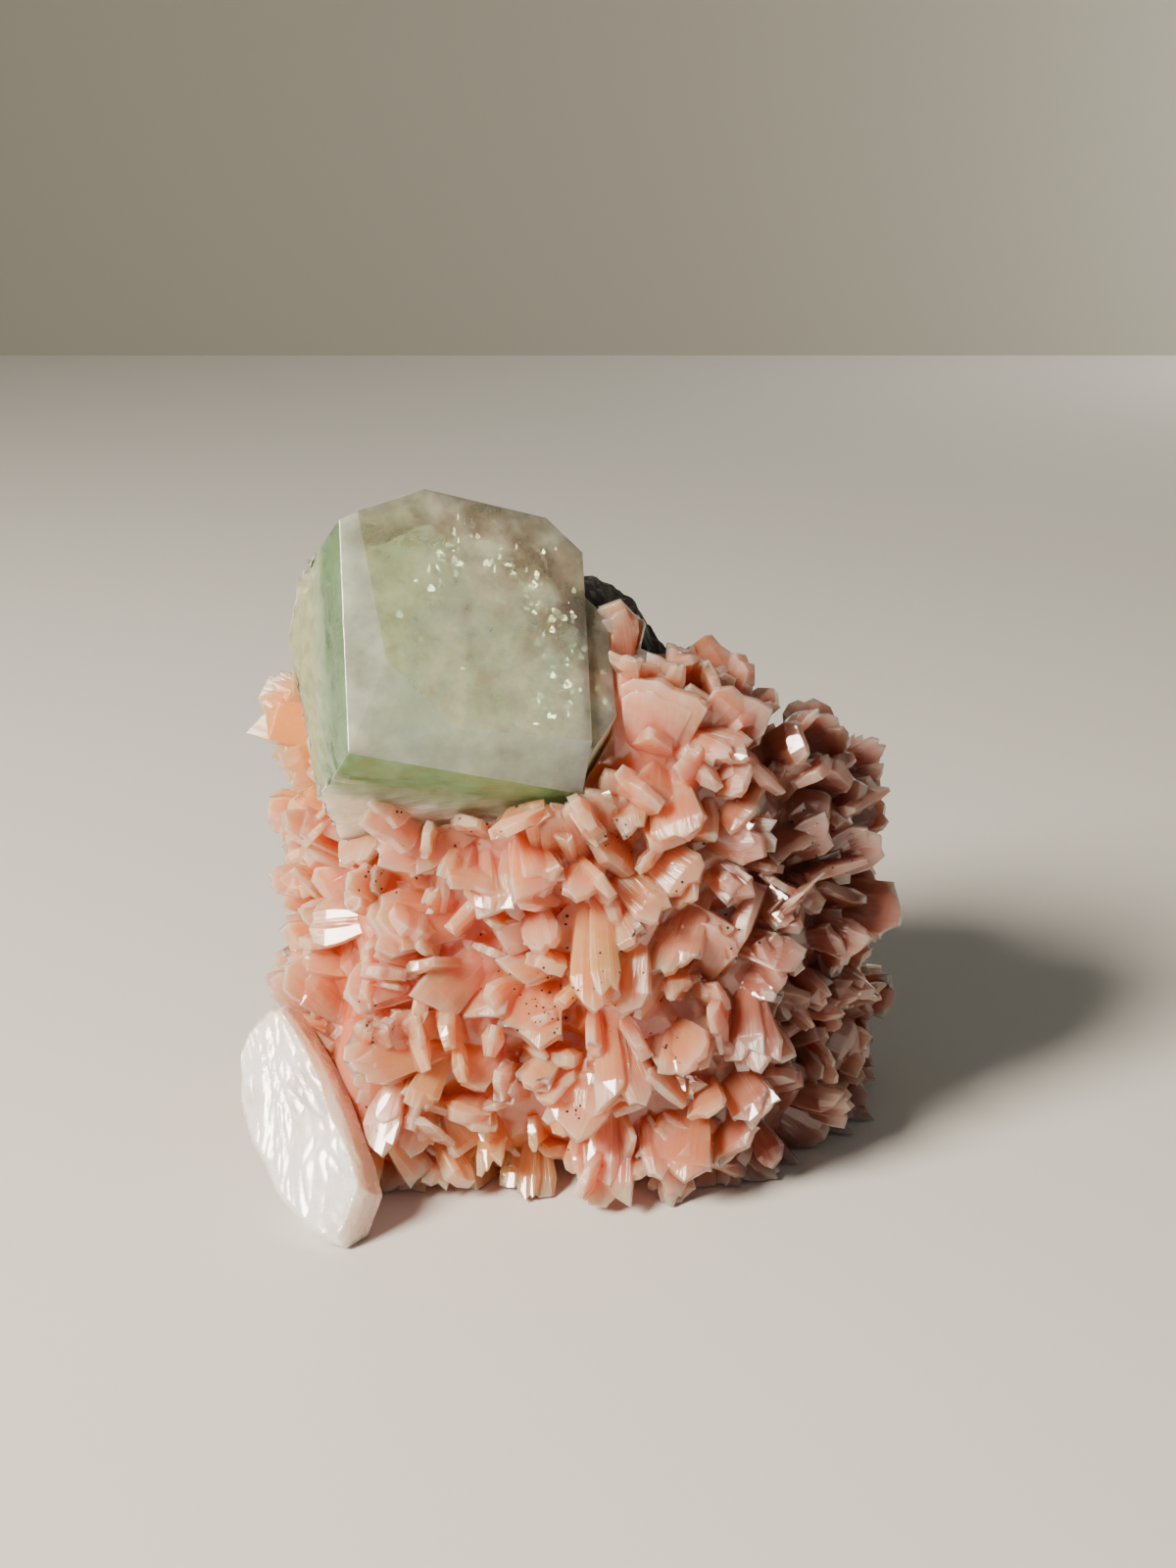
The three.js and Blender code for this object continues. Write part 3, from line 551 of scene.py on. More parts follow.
def sightOnCrust(across, up):
    # where the line of sight meets the crust, or the crust's nearest point to it
    line = unit(sightTo(across, up))
    points = eye + np.arange(*viewPoint["crustReach"], viewPoint["crustStep"])[:, None] * line
    levels = gauge(crustShape, points)
    inside = np.nonzero(levels < 1)[0]
    return onto(crustShape, points[inside[0] if len(inside) else np.argmin(levels)])


def turned(vector, axis, degrees):
    angle = math.radians(degrees)
    return (
        vector * math.cos(angle) + np.cross(axis, vector) * math.sin(angle)
        + axis * (axis @ vector) * (1 - math.cos(angle))
    )


def placedBlades():
    blades = []
    for rootAcross, rootUp, tipAcross, tipUp, out, width, thick, turn in frontBlades:
        foot = sightOnCrust(rootAcross, rootUp)
        depth = (foot - eye) @ sightAhead - out
        tip = eye + sightTo(tipAcross, tipUp) * depth / viewPoint["gridDistance"]
        along = unit(tip - foot)
        look = turned(unit(eye - foot), along, turn)
        middle = np.array([rootAcross + tipAcross, rootUp + tipUp]) / 2
        if np.linalg.norm(middle - np.array(crustPlates["glints"]), axis=1).min() < crustPlates["glintReach"]:
            halfway = unit(unit(eye - tip) + unit(keyLamp - tip))
            look = unit(halfway - (halfway @ along) * along)
        blades.append((foot - along * crustBlades["root"], tip, look, width, thick))
    return blades


def insideOutline(points):
    away = points - eye
    reach = viewPoint["gridDistance"] / (away @ sightAhead)
    across = away[:, 0] * reach
    up = (away @ sightUp) * reach
    inside = np.zeros(len(points), bool)
    for (x0, y0), (x1, y1) in zip([frontOutline[-1]] + frontOutline[:-1], frontOutline):
        if y0 != y1:
            inside ^= ((y1 > up) != (y0 > up)) & (across < x0 + (x1 - x0) * (up - y0) / (y1 - y0))
    return inside


def outsideCrystals(points):
    away = points - greenCorner
    nearGreen = np.ones(len(points), bool)
    for axis, (low, high) in zip((greenRight, greenUp, greenOut), crustBlades["greenClear"]):
        nearGreen &= (away @ axis > low) & (away @ axis < high)
    away = points - whiteCentre
    nearWhite = away @ whiteLook > -whiteThick
    for axis, reach in zip((whiteAcross, whiteUp), crustBlades["whiteClear"]):
        nearWhite &= np.abs(away @ axis) < reach
    return ~nearGreen & ~nearWhite


def lehmerDraws(seed, count):
    # a plain random number generator, so that the blades stand where the solid's blades do
    step, size = 48271, 2147483647
    draws = []
    for _ in range(count):
        seed = seed * step % size
        draws.append(seed / size)
    return draws


def directionsFrom(draws):
    height = 2 * draws[:, 0] - 1
    turn = 2 * math.pi * draws[:, 1]
    reach = np.sqrt(1 - height ** 2)
    return np.stack([reach * np.cos(turn), reach * np.sin(turn), height], axis=-1)


def scatteredBlades(taken):
    perTry = 10
    draws = lehmerDraws(crustBlades["seed"], len(taken) + perTry * crustBlades["tries"])
    draws = np.array(draws[len(taken):]).reshape(-1, perTry)
    feet = onto(crustShape, crustShape["centre"] + directionsFrom(draws[:, 0:2]))
    along = unit(outwardOf(crustShape, feet) + directionsFrom(draws[:, 2:4]) * crustBlades["lean"])
    looks = directionsFrom(draws[:, 4:6])
    spans = [crustBlades[name] for name in ("length", "width", "thick")]
    sizes = np.array([low + (high - low) * draws[:, 6 + i] for i, (low, high) in enumerate(spans)]).T
    roots = feet - along * crustBlades["root"]
    tips = feet + along * sizes[:, :1]
    free = (gauge(rockShape, feet) >= crustBlades["offRock"]) & outsideCrystals(tips) & insideOutline(tips)
    free &= (tips[:, 2] > crustBlades["foot"]) & (feet[:, 1] < crustBlades["farthestBack"])
    kept = [root for root, *_ in taken]
    blades = []
    for i in np.nonzero(free)[0]:
        if np.linalg.norm(np.array(kept) - roots[i], axis=1).min() > crustBlades["spacing"]:
            kept.append(roots[i])
            blades.append((roots[i], tips[i], looks[i], sizes[i, 1], sizes[i, 2]))
    return blades


# Crust: bundles of plates on the blade roots and small plates between them, grown into one solid

crustPlates = {
    "kinds": 18,
    "seed": 7,
    "platesMin": 2,
    "platesMax": 4,
    "fan": 0.2,
    "tilt": 0.09,
    "twist": 0.12,
    "shift": (0.16, 0.4, 0.0),
    "leaderScale": (0.98, 0.7, 1.0),
    "otherScaleMin": (0.55, 0.35, 0.66),
    "otherScaleMax": (1.0, 0.7, 0.98),
    "fillerSpacing": 3.3,
    "fillerLean": 0.8,
    "fillerRoot": 1.2,
    "fillerMin": (2.8, 1.1, 3.4),
    "fillerMax": (6.8, 2.4, 6.4),
    "fillerDensity": 400000.0,  # tries to a square metre
    "pointed": 0.4,  # share of the plates with a pointed end
    "coreSubdivisions": 5,
    "coreShare": 1.035,  # the core's size where plates grow on it, and where they don't
    "bareShare": 0.985,
    "coreOffRock": 1.03,
    "coreLowest": 1,
    "lookAhead": 2,  # a place on the core is open if nothing lies this far out from it
    "drusy": 0.9,  # height of the tiny crystals on the core between the plates
    "drusySize": 1.4,
    "gap": 0.25,
    # across and up on the front's grid, and the radius: no small plates there, so that the rock stays in sight
    "bareSpots": [(6.4, 17.6, 3.4), (-20, -5, 2.8), (-15.5, -5.5, 2.8)],
    # painted glow where light shines through the crystals: across and up on the front's grid, how far it reaches
    # in mm, and how strong it is
    "paintedGlowSpots": [(-30, 8, 12, 1.0), (0.4, -18, 6, 0.5), (-9, -39, 7, 0.5), (-29, -9, 6, 0.5),
                  (-16, -29, 6, 0.35)],
    "paintedGlowDepth": 3,  # how far in front of the core a warm spot has its middle
    # blades near these places of the front's grid turn their broad faces so that they catch the key light
    "glints": [(16.2, -31.8), (17.2, -25), (-17, -11.5), (-18.8, -14.4), (-7, -18.6), (-7, -3.6), (7.8, -2.5),
               (-5.7, -29), (27, -2), (13.5, -25), (-2, -37), (22, -17), (2.5, -8)],
    "glintReach": 1.4,
}


def plateObject(name, random):
    # a unit plate of three or four strips side by side: narrow at its root, with a stepped chisel end
    strips = int(random.integers(3, 5))
    sides = np.linspace(-0.5, 0.5, strips + 1)
    sides[1:-1] += random.uniform(-0.07, 0.07, strips - 1)
    ridges = random.uniform(0.36, 0.5, strips + 1)
    ridges[[0, -1]] *= random.uniform(0.5, 0.85, 2)
    ends = 0.94 + random.uniform(-0.22, 0.22) * sides + random.uniform(-0.07, 0.07, strips + 1)
    if random.random() < crustPlates["pointed"]:
        ends -= np.abs(sides) * random.uniform(0.1, 0.45)
    # how far up each row of points is, and how wide and thick the plate is there
    rows = [(0.0, 0.5, 0.7), (0.42, 0.82, 0.92), (random.uniform(0.7, 0.84), 1.0, 1.0)]
    rows.append((ends, random.uniform(0.66, 1), random.uniform(0.3, 0.8)))
    build = bmesh.new()
    grid = []
    for ups, wide, thick in rows:
        for face in (1, -1):
            points = np.stack([sides * wide, ridges * thick * face, ups + 0 * sides], axis=-1)
            points += random.uniform(-1, 1, points.shape) * (0.02, 0.03, 0.012)
            grid.append([build.verts.new(point) for point in points])
    loops = [front + back[::-1] for front, back in zip(grid[0::2], grid[1::2])]
    around = 2 * strips + 2
    for lower, upper in zip(loops, loops[1:]):
        for i in range(around):
            build.faces.new((lower[i - 1], lower[i], upper[i], upper[i - 1]))
    for front, back in (grid[:2], grid[-2:]):
        for i in range(strips):
            build.faces.new((front[i], front[i + 1], back[i + 1], back[i]))
    bmesh.ops.recalc_face_normals(build, faces=build.faces)
    bmesh.ops.triangulate(build, faces=build.faces)
    plate = builtObject(name, build, inScene=False)
    corners = np.empty(len(plate.data.loops), int)
    plate.data.loops.foreach_get("vertex_index", corners)
    addSpots(plate.data, "blade", verticesOf(plate.data)[corners], "CORNER")
    return plate


def plateCollection():
    random = np.random.default_rng(crustPlates["seed"])
    plates = bpy.data.collections.new("plateKinds")
    for i in range(crustPlates["kinds"]):
        plates.objects.link(plateObject(f"plateKind{i}", random))
    return plates


def rootsObject(blades):
    roots = meshObject("bladeRoots", [root * mm for root, *_ in blades])
    sizes = [(width, thick, np.linalg.norm(tip - root)) for root, tip, _, width, thick in blades]
    addSpots(roots.data, "along", [unit(tip - root) for root, tip, *_ in blades])
    addSpots(roots.data, "look", [look for _, _, look, *_ in blades])
    addSpots(roots.data, "size", np.array(sizes) * mm)
    return roots


def coreObject():
    core = lumpObject("crustCore", crustShape, crustPlates["coreSubdivisions"])
    places = verticesOf(core.data) / mm
    away = places - crustShape["centre"]
    ahead = places + unit(away) * crustPlates["lookAhead"]
    isFree = (gauge(rockShape, places) >= crustPlates["coreOffRock"]) & outsideCrystals(ahead)
    isFree &= (places[:, 2] > crustPlates["coreLowest"]) & (places[:, 1] < crustBlades["farthestBack"])
    relief = isFree * crustPlates["drusy"] * smoothNoise(places, crustPlates["drusySize"], 12)
    isOpen = isFree & insideOutline(ahead)
    for across, up, radius in crustPlates["bareSpots"]:
        isOpen &= np.linalg.norm(np.cross(ahead - eye, unit(sightTo(across, up))), axis=1) > radius
    addSpots(core.data, "open", isOpen)
    share = np.where(isOpen, crustPlates["coreShare"], crustPlates["bareShare"])
    grown = crustShape["centre"] + away * share[:, None]
    moveVertices(core.data, grown + unit(away) * relief[:, None])
    return core


def grownCopy(name, node, centre, by):
    # a CAD solid moved outwards by about the given distance, as a cutter
    mesh, build = solidOf(node, name)
    for vertex in build.verts:
        away = vertex.co - Vector(centre) * mm
        vertex.co += away.normalized() * by * mm
    build.to_mesh(mesh)
    build.free()
    return newObject(name, mesh, inScene=False)


def cutterCollection():
    cutters = bpy.data.collections.new("crustCutters")
    gap = crustPlates["gap"]
    for name, node, centre, by in (
        ("basaltCutter", "basalt_matrix", rockShape["centre"], gap),
        ("greenCutter", "apophyllite_crystal", greenMiddle, gap * 1.4),
        ("whiteCutter", "pearly_stilbite_crystal", whiteCentre - whiteThick / 2 * whiteLook, gap * 1.6),
    ):
        cutters.objects.link(grownCopy(name, node, centre, by))
    return cutters


def growTree():
    plates = crustPlates
    tree, given, result = newTree("growCrust", [
        ("Blade Roots", "Object", None),
        ("Plate Kinds", "Collection", None),
        ("Cutters", "Collection", None),
        ("Plates Min", "Int", plates["platesMin"]),
        ("Plates Max", "Int", plates["platesMax"]),
        ("Spread", "Vector", (plates["tilt"], plates["fan"], plates["twist"])),
        ("Shift", "Vector", plates["shift"]),
        ("Filler Spacing", "Float", plates["fillerSpacing"] * mm),
        ("Filler Lean", "Float", plates["fillerLean"]),
        ("Seed", "Int", plates["seed"]),
        ("Material", "Material", None),
    ])
    value = {socket.name: socket for socket in given.outputs}
    add = partial(addNode, tree)
    kinds = add("GeometryNodeCollectionInfo", {"Collection": value["Plate Kinds"], "Separate Children": True})
    bladeAlong, bladeLook, bladeSize = (
        add("GeometryNodeInputNamedAttribute", {"Name": name}, "Attribute", data_type="FLOAT_VECTOR")
        for name in ("along", "look", "size")
    )

    def randomVector(salt, low=(-1, -1, -1), high=(1, 1, 1)):
        seed = add("ShaderNodeMath", {0: value["Seed"], 1: float(salt)}, operation="ADD")
        return add("FunctionNodeRandomValue", {"Min": low, "Max": high, "Seed": seed}, "Value",
                   data_type="FLOAT_VECTOR")

    def forOthers(salt, reach):
        # a random vector within the reach for all but a root's first plate, which gets none
        vector = add("ShaderNodeVectorMath", {0: randomVector(salt), 1: reach}, operation="MULTIPLY")
        return add("ShaderNodeVectorMath", {0: vector, "Scale": isOther}, operation="SCALE")

    def instances(points, rotation, scale, salt):
        pick = add("FunctionNodeRandomValue", {"Min": 0, "Max": plates["kinds"] - 1, "Seed": salt}, "Value",
                   data_type="INT")
        return add("GeometryNodeInstanceOnPoints", {
            "Points": points, "Instance": kinds, "Pick Instance": True, "Instance Index": pick,
            "Rotation": rotation, "Scale": scale,
        })

    # bundles: each root is repeated, and all but the first copy are turned, shifted and shortened
    roots = add("GeometryNodeObjectInfo", {"Object": value["Blade Roots"]}, "Geometry")
    amount = add("FunctionNodeRandomValue", {
        "Min": value["Plates Min"], "Max": value["Plates Max"], "Seed": value["Seed"],
    }, "Value", data_type="INT")
    repeated = add("GeometryNodeDuplicateElements", {"Geometry": roots, "Amount": amount}, domain="POINT").node
    isOther = add("ShaderNodeMath", {0: repeated.outputs["Duplicate Index"], 1: 0.5}, operation="GREATER_THAN")
    facing = add("FunctionNodeAxesToRotation", {"Primary Axis": bladeAlong, "Secondary Axis": bladeLook},
                 primary_axis="Z", secondary_axis="Y")
    turn = add("FunctionNodeEulerToRotation", {"Euler": forOthers(1, value["Spread"])})
    rotation = add("FunctionNodeRotateRotation", {"Rotation": facing, "Rotate By": turn}, rotation_space="LOCAL")
    share = add("GeometryNodeSwitch", {
        "Switch": isOther,
        "False": plates["leaderScale"],
        "True": randomVector(2, plates["otherScaleMin"], plates["otherScaleMax"]),
    }, input_type="VECTOR")
    scale = add("ShaderNodeVectorMath", {0: bladeSize, 1: share}, operation="MULTIPLY")
    shift = add("ShaderNodeVectorMath", {0: forOthers(3, value["Shift"]), 1: bladeSize}, operation="MULTIPLY")
    shift = add("FunctionNodeRotateVector", {"Vector": shift, "Rotation": facing})
    placed = add("GeometryNodeSetPosition", {"Geometry": repeated.outputs["Geometry"], "Offset": shift})
    bundles = instances(placed, rotation, scale, 4)

    # small plates in the gaps, leaning away from the core's own normal
    opened = add("GeometryNodeInputNamedAttribute", {"Name": "open"}, "Attribute", data_type="FLOAT")
    spots = add("GeometryNodeDistributePointsOnFaces", {
        "Mesh": value["Geometry"], "Distance Min": value["Filler Spacing"],
        "Density Max": plates["fillerDensity"], "Density Factor": opened, "Seed": value["Seed"],
    }, distribute_method="POISSON").node
    lean = add("ShaderNodeVectorMath", {0: randomVector(5), "Scale": value["Filler Lean"]}, operation="SCALE")
    along = add("ShaderNodeVectorMath", {0: spots.outputs["Normal"], 1: lean}, operation="ADD")
    along = add("ShaderNodeVectorMath", {0: along}, operation="NORMALIZE")
    facing = add("FunctionNodeAxesToRotation", {"Primary Axis": along, "Secondary Axis": randomVector(6)},
                 primary_axis="Z", secondary_axis="Y")
    sink = add("ShaderNodeVectorMath", {0: along, "Scale": -plates["fillerRoot"] * mm}, operation="SCALE")
    sunk = add("GeometryNodeSetPosition", {"Geometry": spots.outputs["Points"], "Offset": sink})
    low = tuple(size * mm for size in plates["fillerMin"])
    high = tuple(size * mm for size in plates["fillerMax"])
    fillers = instances(sunk, facing, randomVector(7, low, high), 8)

    # one closed solid, with the seats of its neighbours cut out of it
    union = add("GeometryNodeMeshBoolean", {1: value["Geometry"]}, operation="UNION", solver="MANIFOLD")
    for grown in (bundles, fillers):
        tree.links.new(grown, union.node.inputs[1])
    cutters = add("GeometryNodeCollectionInfo", {"Collection": value["Cutters"], "Separate Children": True})
    cut = add("GeometryNodeMeshBoolean", {0: union, 1: cutters}, operation="DIFFERENCE", solver="MANIFOLD")
    realized = add("GeometryNodeRealizeInstances", {"Geometry": cut})
    finished = add("GeometryNodeSetMaterial", {"Geometry": realized, "Material": value["Material"]})
    tree.links.new(finished, result.inputs["Geometry"])
    return tree


def buildCrust():
    blades = placedBlades()
    blades += scatteredBlades(blades)
    print("crust:", len(blades), "blades")
    roots = rootsObject(blades)
    kinds = plateCollection()
    cutters = cutterCollection()
    crust = coreObject()
    crust.name = "stilbite_crystals"
    bakeModifier(crust, "NODES", {
        "Blade Roots": roots, "Plate Kinds": kinds, "Cutters": cutters, "Material": stilbiteMaterial(),
    }, node_group=growTree())
    cutFlat(crust, crustBlades["foot"], mainOnly=True)
    for leftover in [roots, *kinds.objects, *cutters.objects]:
        dropObject(leftover)
    for group in (kinds, cutters):
        bpy.data.collections.remove(group)
    addSpots(crust.data, "height", heightOver(crustShape, verticesOf(crust.data) / mm))
    mount(crust, "stilbite_crust")
    return crust


def stilbiteMaterial():
    # stilbite: waxy to glassy and milky inside, so light that has gone deep comes back orange
    material, add, shader = newMaterial("peachStilbite")
    place = add("ShaderNodeTexCoord", out="Object")
    across = add("ShaderNodeSeparateXYZ", {0: place}, "X")
    blade = add("ShaderNodeAttribute", out="Vector", attribute_name="blade")
    bladeUp = add("ShaderNodeSeparateXYZ", {0: blade}, "Z")
    bladeSide = add("ShaderNodeMath", {0: add("ShaderNodeSeparateXYZ", {0: blade}, "X")}, operation="ABSOLUTE")
    height = add("ShaderNodeAttribute", out="Fac", attribute_name="height")
    patches = add("ShaderNodeTexNoise", {"Vector": place, "Scale": 140.0})
    clouds = add("ShaderNodeTexNoise", {"Vector": place, "Scale": 420.0, "Detail": 3.0})
    layers = [
        # painted shade and painted bounced light: deep orange low down between the plates, paler higher up
        (height, 0.0, 3.0, 0.0, 1.0, "#f59b71"),
        (patches, 0.42, 0.62, 0.0, 0.8, "#f3977d"),
        (clouds, 0.5, 0.7, 0.0, 0.5, "#fbc4a1"),
        # painted shade: mauve-brown towards the right side, partly the crystals' own duller tone
        (across, 0.002, 0.021, 0.0, 0.85, "#784740"),
        # paler tips and rims: partly frosting, partly painted light where the thin ends let light through and
        # the rims catch it
        (bladeUp, 0.65, 1.0, 0.0, 0.4, "#f6cfc0"),
        (bladeSide, 0.42, 0.5, 0.0, 0.4, "#f8d3c8"),
    ]
    # painted glow: orange light where the key shines through the crystals at the rim and the bottom edge
    for spotAcross, spotUp, reach, share in crustPlates["paintedGlowSpots"]:
        spot = sightOnCrust(spotAcross, spotUp)
        spot = (spot + unit(eye - spot) * crustPlates["paintedGlowDepth"]) * mm
        away = add("ShaderNodeVectorMath", {0: place, 1: tuple(spot)}, "Value", operation="DISTANCE")
        layers.append((away, reach * mm * 0.5, reach * mm, share, 0.0, "#ffa35c"))
    # growth lines along each plate, about 0.3 mm apart, over edges that look worn by 0.3 mm
    stretch = add("ShaderNodeVectorMath", {0: blade, 1: (13.0, 3.0, 0.7)}, operation="MULTIPLY")
    lines = add("ShaderNodeTexNoise", {"Vector": stretch, "Scale": 1.0, "Detail": 3.0, "Roughness": 0.6})
    worn = add("ShaderNodeBevel", {"Radius": 0.0003}, samples=4)
    bump = add("ShaderNodeBump", {"Strength": 0.7, "Distance": 0.0002, "Height": lines, "Normal": worn})
    setSockets(shader, {
        "Base Color": painted(add, "#cf6a40", layers),
        "Roughness": stepped(add, (clouds, 0.35, 0.7, 0.07, 0.24)),
        "Transmission Weight": 0.35,
        "Coat Weight": 1,
        "Coat Roughness": 0.04,
        "Subsurface Weight": 1,
        "Subsurface Radius": (1, 0.55, 0.4),
        "Subsurface Scale": 0.006,
        "Normal": bump,
    })
    return material


# Basalt: a rough broken lump inside the rock's form

basaltRock = {
    "subdivisions": 7,
    "inset": 0.1,
    "lumps": 0.7,
    "grain": 0.3,
    "lumpSize": 2.6,
    "grainSize": 0.9,
}


def basaltMaterial():
    # basalt: near black, fine grained and rough, with a few grey crystals in it
    material, add, shader = newMaterial("brokenBasalt")
    place = add("ShaderNodeTexCoord", out="Object")
    crystals = add("ShaderNodeTexNoise", {"Vector": place, "Scale": 1600.0, "Detail": 3.0})
    patches = add("ShaderNodeTexNoise", {"Vector": place, "Scale": 160.0, "Detail": 4.0})
    grain = add("ShaderNodeTexNoise", {"Vector": place, "Scale": 1400.0, "Detail": 5.0, "Roughness": 0.7})
    setSockets(shader, {
        "Base Color": painted(add, "#0b0a0b", [
            (patches, 0.2, 0.8, 0.0, 1.0, "#262321"),
            (crystals, 0.56, 0.7, 0.0, 0.45, "#4d4944"),
        ]),
        "Roughness": stepped(add, (patches, 0.3, 0.7, 0.42, 0.9)),
        "Normal": add("ShaderNodeBump", {"Strength": 0.8, "Distance": 0.0003, "Height": grain}),
    })
    return material


def buildBasalt():
    rock = lumpObject("basalt_rock", rockShape, basaltRock["subdivisions"])
    places = verticesOf(rock.data) / mm
    depth = -basaltRock["inset"] - basaltRock["lumps"]
    depth = depth + basaltRock["lumps"] * smoothNoise(places, basaltRock["lumpSize"], 1)
    grain = smoothNoise(places, basaltRock["grainSize"], 2)
    depth = depth + basaltRock["grain"] * (np.abs(grain) * 2 - 1)
    moveVertices(rock.data, places + unit(places - rockShape["centre"]) * depth[:, None])
    seat = grownCopy("greenCutter", "apophyllite_crystal", greenMiddle, crustPlates["gap"])
    bakeModifier(rock, "BOOLEAN", operation="DIFFERENCE", solver="MANIFOLD", object=seat)
    dropObject(seat)
    cutFlat(rock, 0, mainOnly=True)
    mount(rock, "basalt_matrix", basaltMaterial())


# Apophyllite: the solid's own faces with worn edges and frosted sides, and a cloudy heart inside them

greenCrystal = {
    "edge": 0.05,
    "longestEdge": 0.9,
    "rounds": 4,
    "ior": 1.535,
    "frost": 0.45,
    "frostSize": 1.1,
    # the height out of the front face where the frost starts and ends, and over how much it comes and goes
    "frostStart": (-1, 7),
    "frostEnd": (-15.8, 2),
    "back": -16,
    "deep": 18,
    "heartFront": -2.7,
    "heartBack": -15.4,
    "heartMiddle": 11.5,
    "heartShare": 0.87,
    "heartVoxel": 0.45,
    "heartWaves": 1.2,
    "heartWaveSize": 4.5,
}


def greenCoordinates(add):
    # Object coordinates, and the same along the crystal's own axes, in metres from its lower left corner
    place = add("ShaderNodeTexCoord", out="Object")
    away = add("ShaderNodeVectorMath", {0: place, 1: tuple(greenCorner * mm)}, operation="SUBTRACT")
    return place, *(
        add("ShaderNodeVectorMath", {0: away, 1: tuple(axis)}, "Value", operation="DOT_PRODUCT")
        for axis in (greenRight, greenUp, greenOut)
    )


def apophylliteMaterial():
    # apophyllite: glassy in front, green in a band behind the edges, milky at the sides and the back
    material, add, shader = newMaterial("greenApophyllite")
    place, a, b, c = greenCoordinates(add)
    normal = add("ShaderNodeTexCoord", out="Normal")
    facing, rightward = (
        add("ShaderNodeVectorMath", {0: normal, 1: tuple(axis)}, "Value", operation="DOT_PRODUCT")
        for axis in (greenOut, greenRight)
    )
    wisps = add("ShaderNodeTexNoise", {"Vector": place, "Scale": 260.0, "Detail": 3.0})
    depth = add("ShaderNodeMath", {0: wisps, 1: 0.003, 2: c}, operation="MULTIPLY_ADD")
    veils = add("ShaderNodeTexNoise", {"Vector": place, "Scale": 240.0, "Detail": 7.0, "Roughness": 0.6})
    ripples = add("ShaderNodeTexNoise", {"Vector": place, "Scale": 420.0})
    side = stepped(add, (facing, 0.3, 0.6, 1.0, 0.0))
    pale, dark = (
        add("ShaderNodeMath", {0: side, 1: stepped(add, (depth, low, high, 0.0, 1.0))}, operation="MULTIPLY")
        for low, high in ((-0.0085, -0.004), (-0.0045, -0.002))
    )
    upRight = add("ShaderNodeMath", {0: a, 1: b}, operation="ADD")
    stained = stepped(add, (upRight, 0.026, 0.04, 0.0, 0.25), onto=wisps)
    # how much of the light the milky part takes: less in the front face, most at the sides
    milk = stepped(
        add,
        (facing, 0.975, 0.995, 0.43, 0.3),
        (depth, -0.008, -0.002, 0.3, 0.0),
        (rightward, 0.5, 0.9, 0.0, 0.4),
        (veils, 0.3, 0.75, -0.1, 0.1),
    )
    setSockets(shader, {
        "Base Color": painted(add, "#fdf6e2", [
            (veils, 0.35, 0.7, 0.0, 0.7, "#f4efd0"),
            (a, 0.003, 0.009, 0.7, 0.0, "#e2ecc6"),
            (stained, 0.58, 0.75, 0.0, 0.55, "#c29b82"),
            (facing, 0.975, 0.995, 1.0, 0.0, "#c4cabc"),
            (depth, -0.0085, -0.005, 0.9, 0.0, "#f0e4cc"),
            # painted shade: the faces turned to the left are darker olive
            (rightward, -0.8, -0.4, 0.85, 0.0, "#9c9f78"),
            (pale, 0.0, 1.0, 0.0, 0.8, "#b2cea6"),
            (dark, 0.0, 1.0, 0.0, 0.85, "#78b178"),
            # more painted shade on the faces turned to the left
            (rightward, -0.8, -0.4, 0.35, 0.0, "#6b7552"),
            # painted light: the faces turned to the right, in shade, are near white as if lit through the
            # crystal
            (rightward, 0.5, 0.9, 0.0, 0.85, "#f3f4e6"),
        ]),
        "Transmission Weight": stepped(add, (milk, 0.0, 1.0, 1.0, 0.0)),
        "Roughness": stepped(add, (milk, 0.2, 0.9, 0.02, 0.22)),
        "IOR": greenCrystal["ior"],
        "Subsurface Weight": 0.8,
        "Subsurface Radius": (1, 1, 0.85),
        "Subsurface Scale": 0.005,
        "Normal": add("ShaderNodeBump", {"Strength": 0.25, "Distance": 0.0002, "Height": ripples}),
    })
    return material


def heartMaterial():
    # cloudy apophyllite: full of tiny cracks and fluid, so it looks like milk glass with brown-pink stains
    material, add, shader = newMaterial("cloudyApophyllite")
    place, a, b, _ = greenCoordinates(add)
    clouds = add("ShaderNodeTexNoise", {"Vector": place, "Scale": 260.0, "Detail": 8.0, "Roughness": 0.65})
    stains = add("ShaderNodeTexNoise", {"Vector": place, "Scale": 300.0, "Detail": 7.0, "Roughness": 0.6})
    flaws = add("ShaderNodeTexNoise", {"Vector": place, "Scale": 1100.0, "Detail": 4.0, "Roughness": 0.65})
    upRight = add("ShaderNodeMath", {0: a, 1: b}, operation="ADD")
    stained = stepped(add, (upRight, 0.024, 0.038, 0.0, 0.25), onto=stains)
    setSockets(shader, {
        "Base Color": painted(add, "#fff6e0", [
            (a, 0.002, 0.008, 0.6, 0.0, "#e0f0c4"),
            (b, 0.002, 0.007, 0.5, 0.0, "#eeeebc"),
            (stained, 0.55, 0.64, 0.0, 0.7, "#bd8e6e"),
            (clouds, 0.5, 0.56, 0.0, 1.0, "#ffffff"),
            (flaws, 0.56, 0.62, 0.0, 0.9, "#ffffff"),
            (flaws, 0.36, 0.42, 0.6, 0.0, "#a59669"),
        ]),
        "Roughness": 0.35,
        "Subsurface Weight": 0.7,
        "Subsurface Radius": (1, 0.95, 0.75),
        "Subsurface Scale": 0.004,
        "Normal": add("ShaderNodeBump", {"Strength": 0.7, "Distance": 0.0006, "Height": stains}),
    })
    return material


def greenMesh(name):
    # the crystal's plain flat faces
    mesh, build = solidOf("apophyllite_crystal", name)
    bmesh.ops.dissolve_limit(build, angle_limit=0.01, verts=build.verts, edges=build.edges)
    return mesh, build


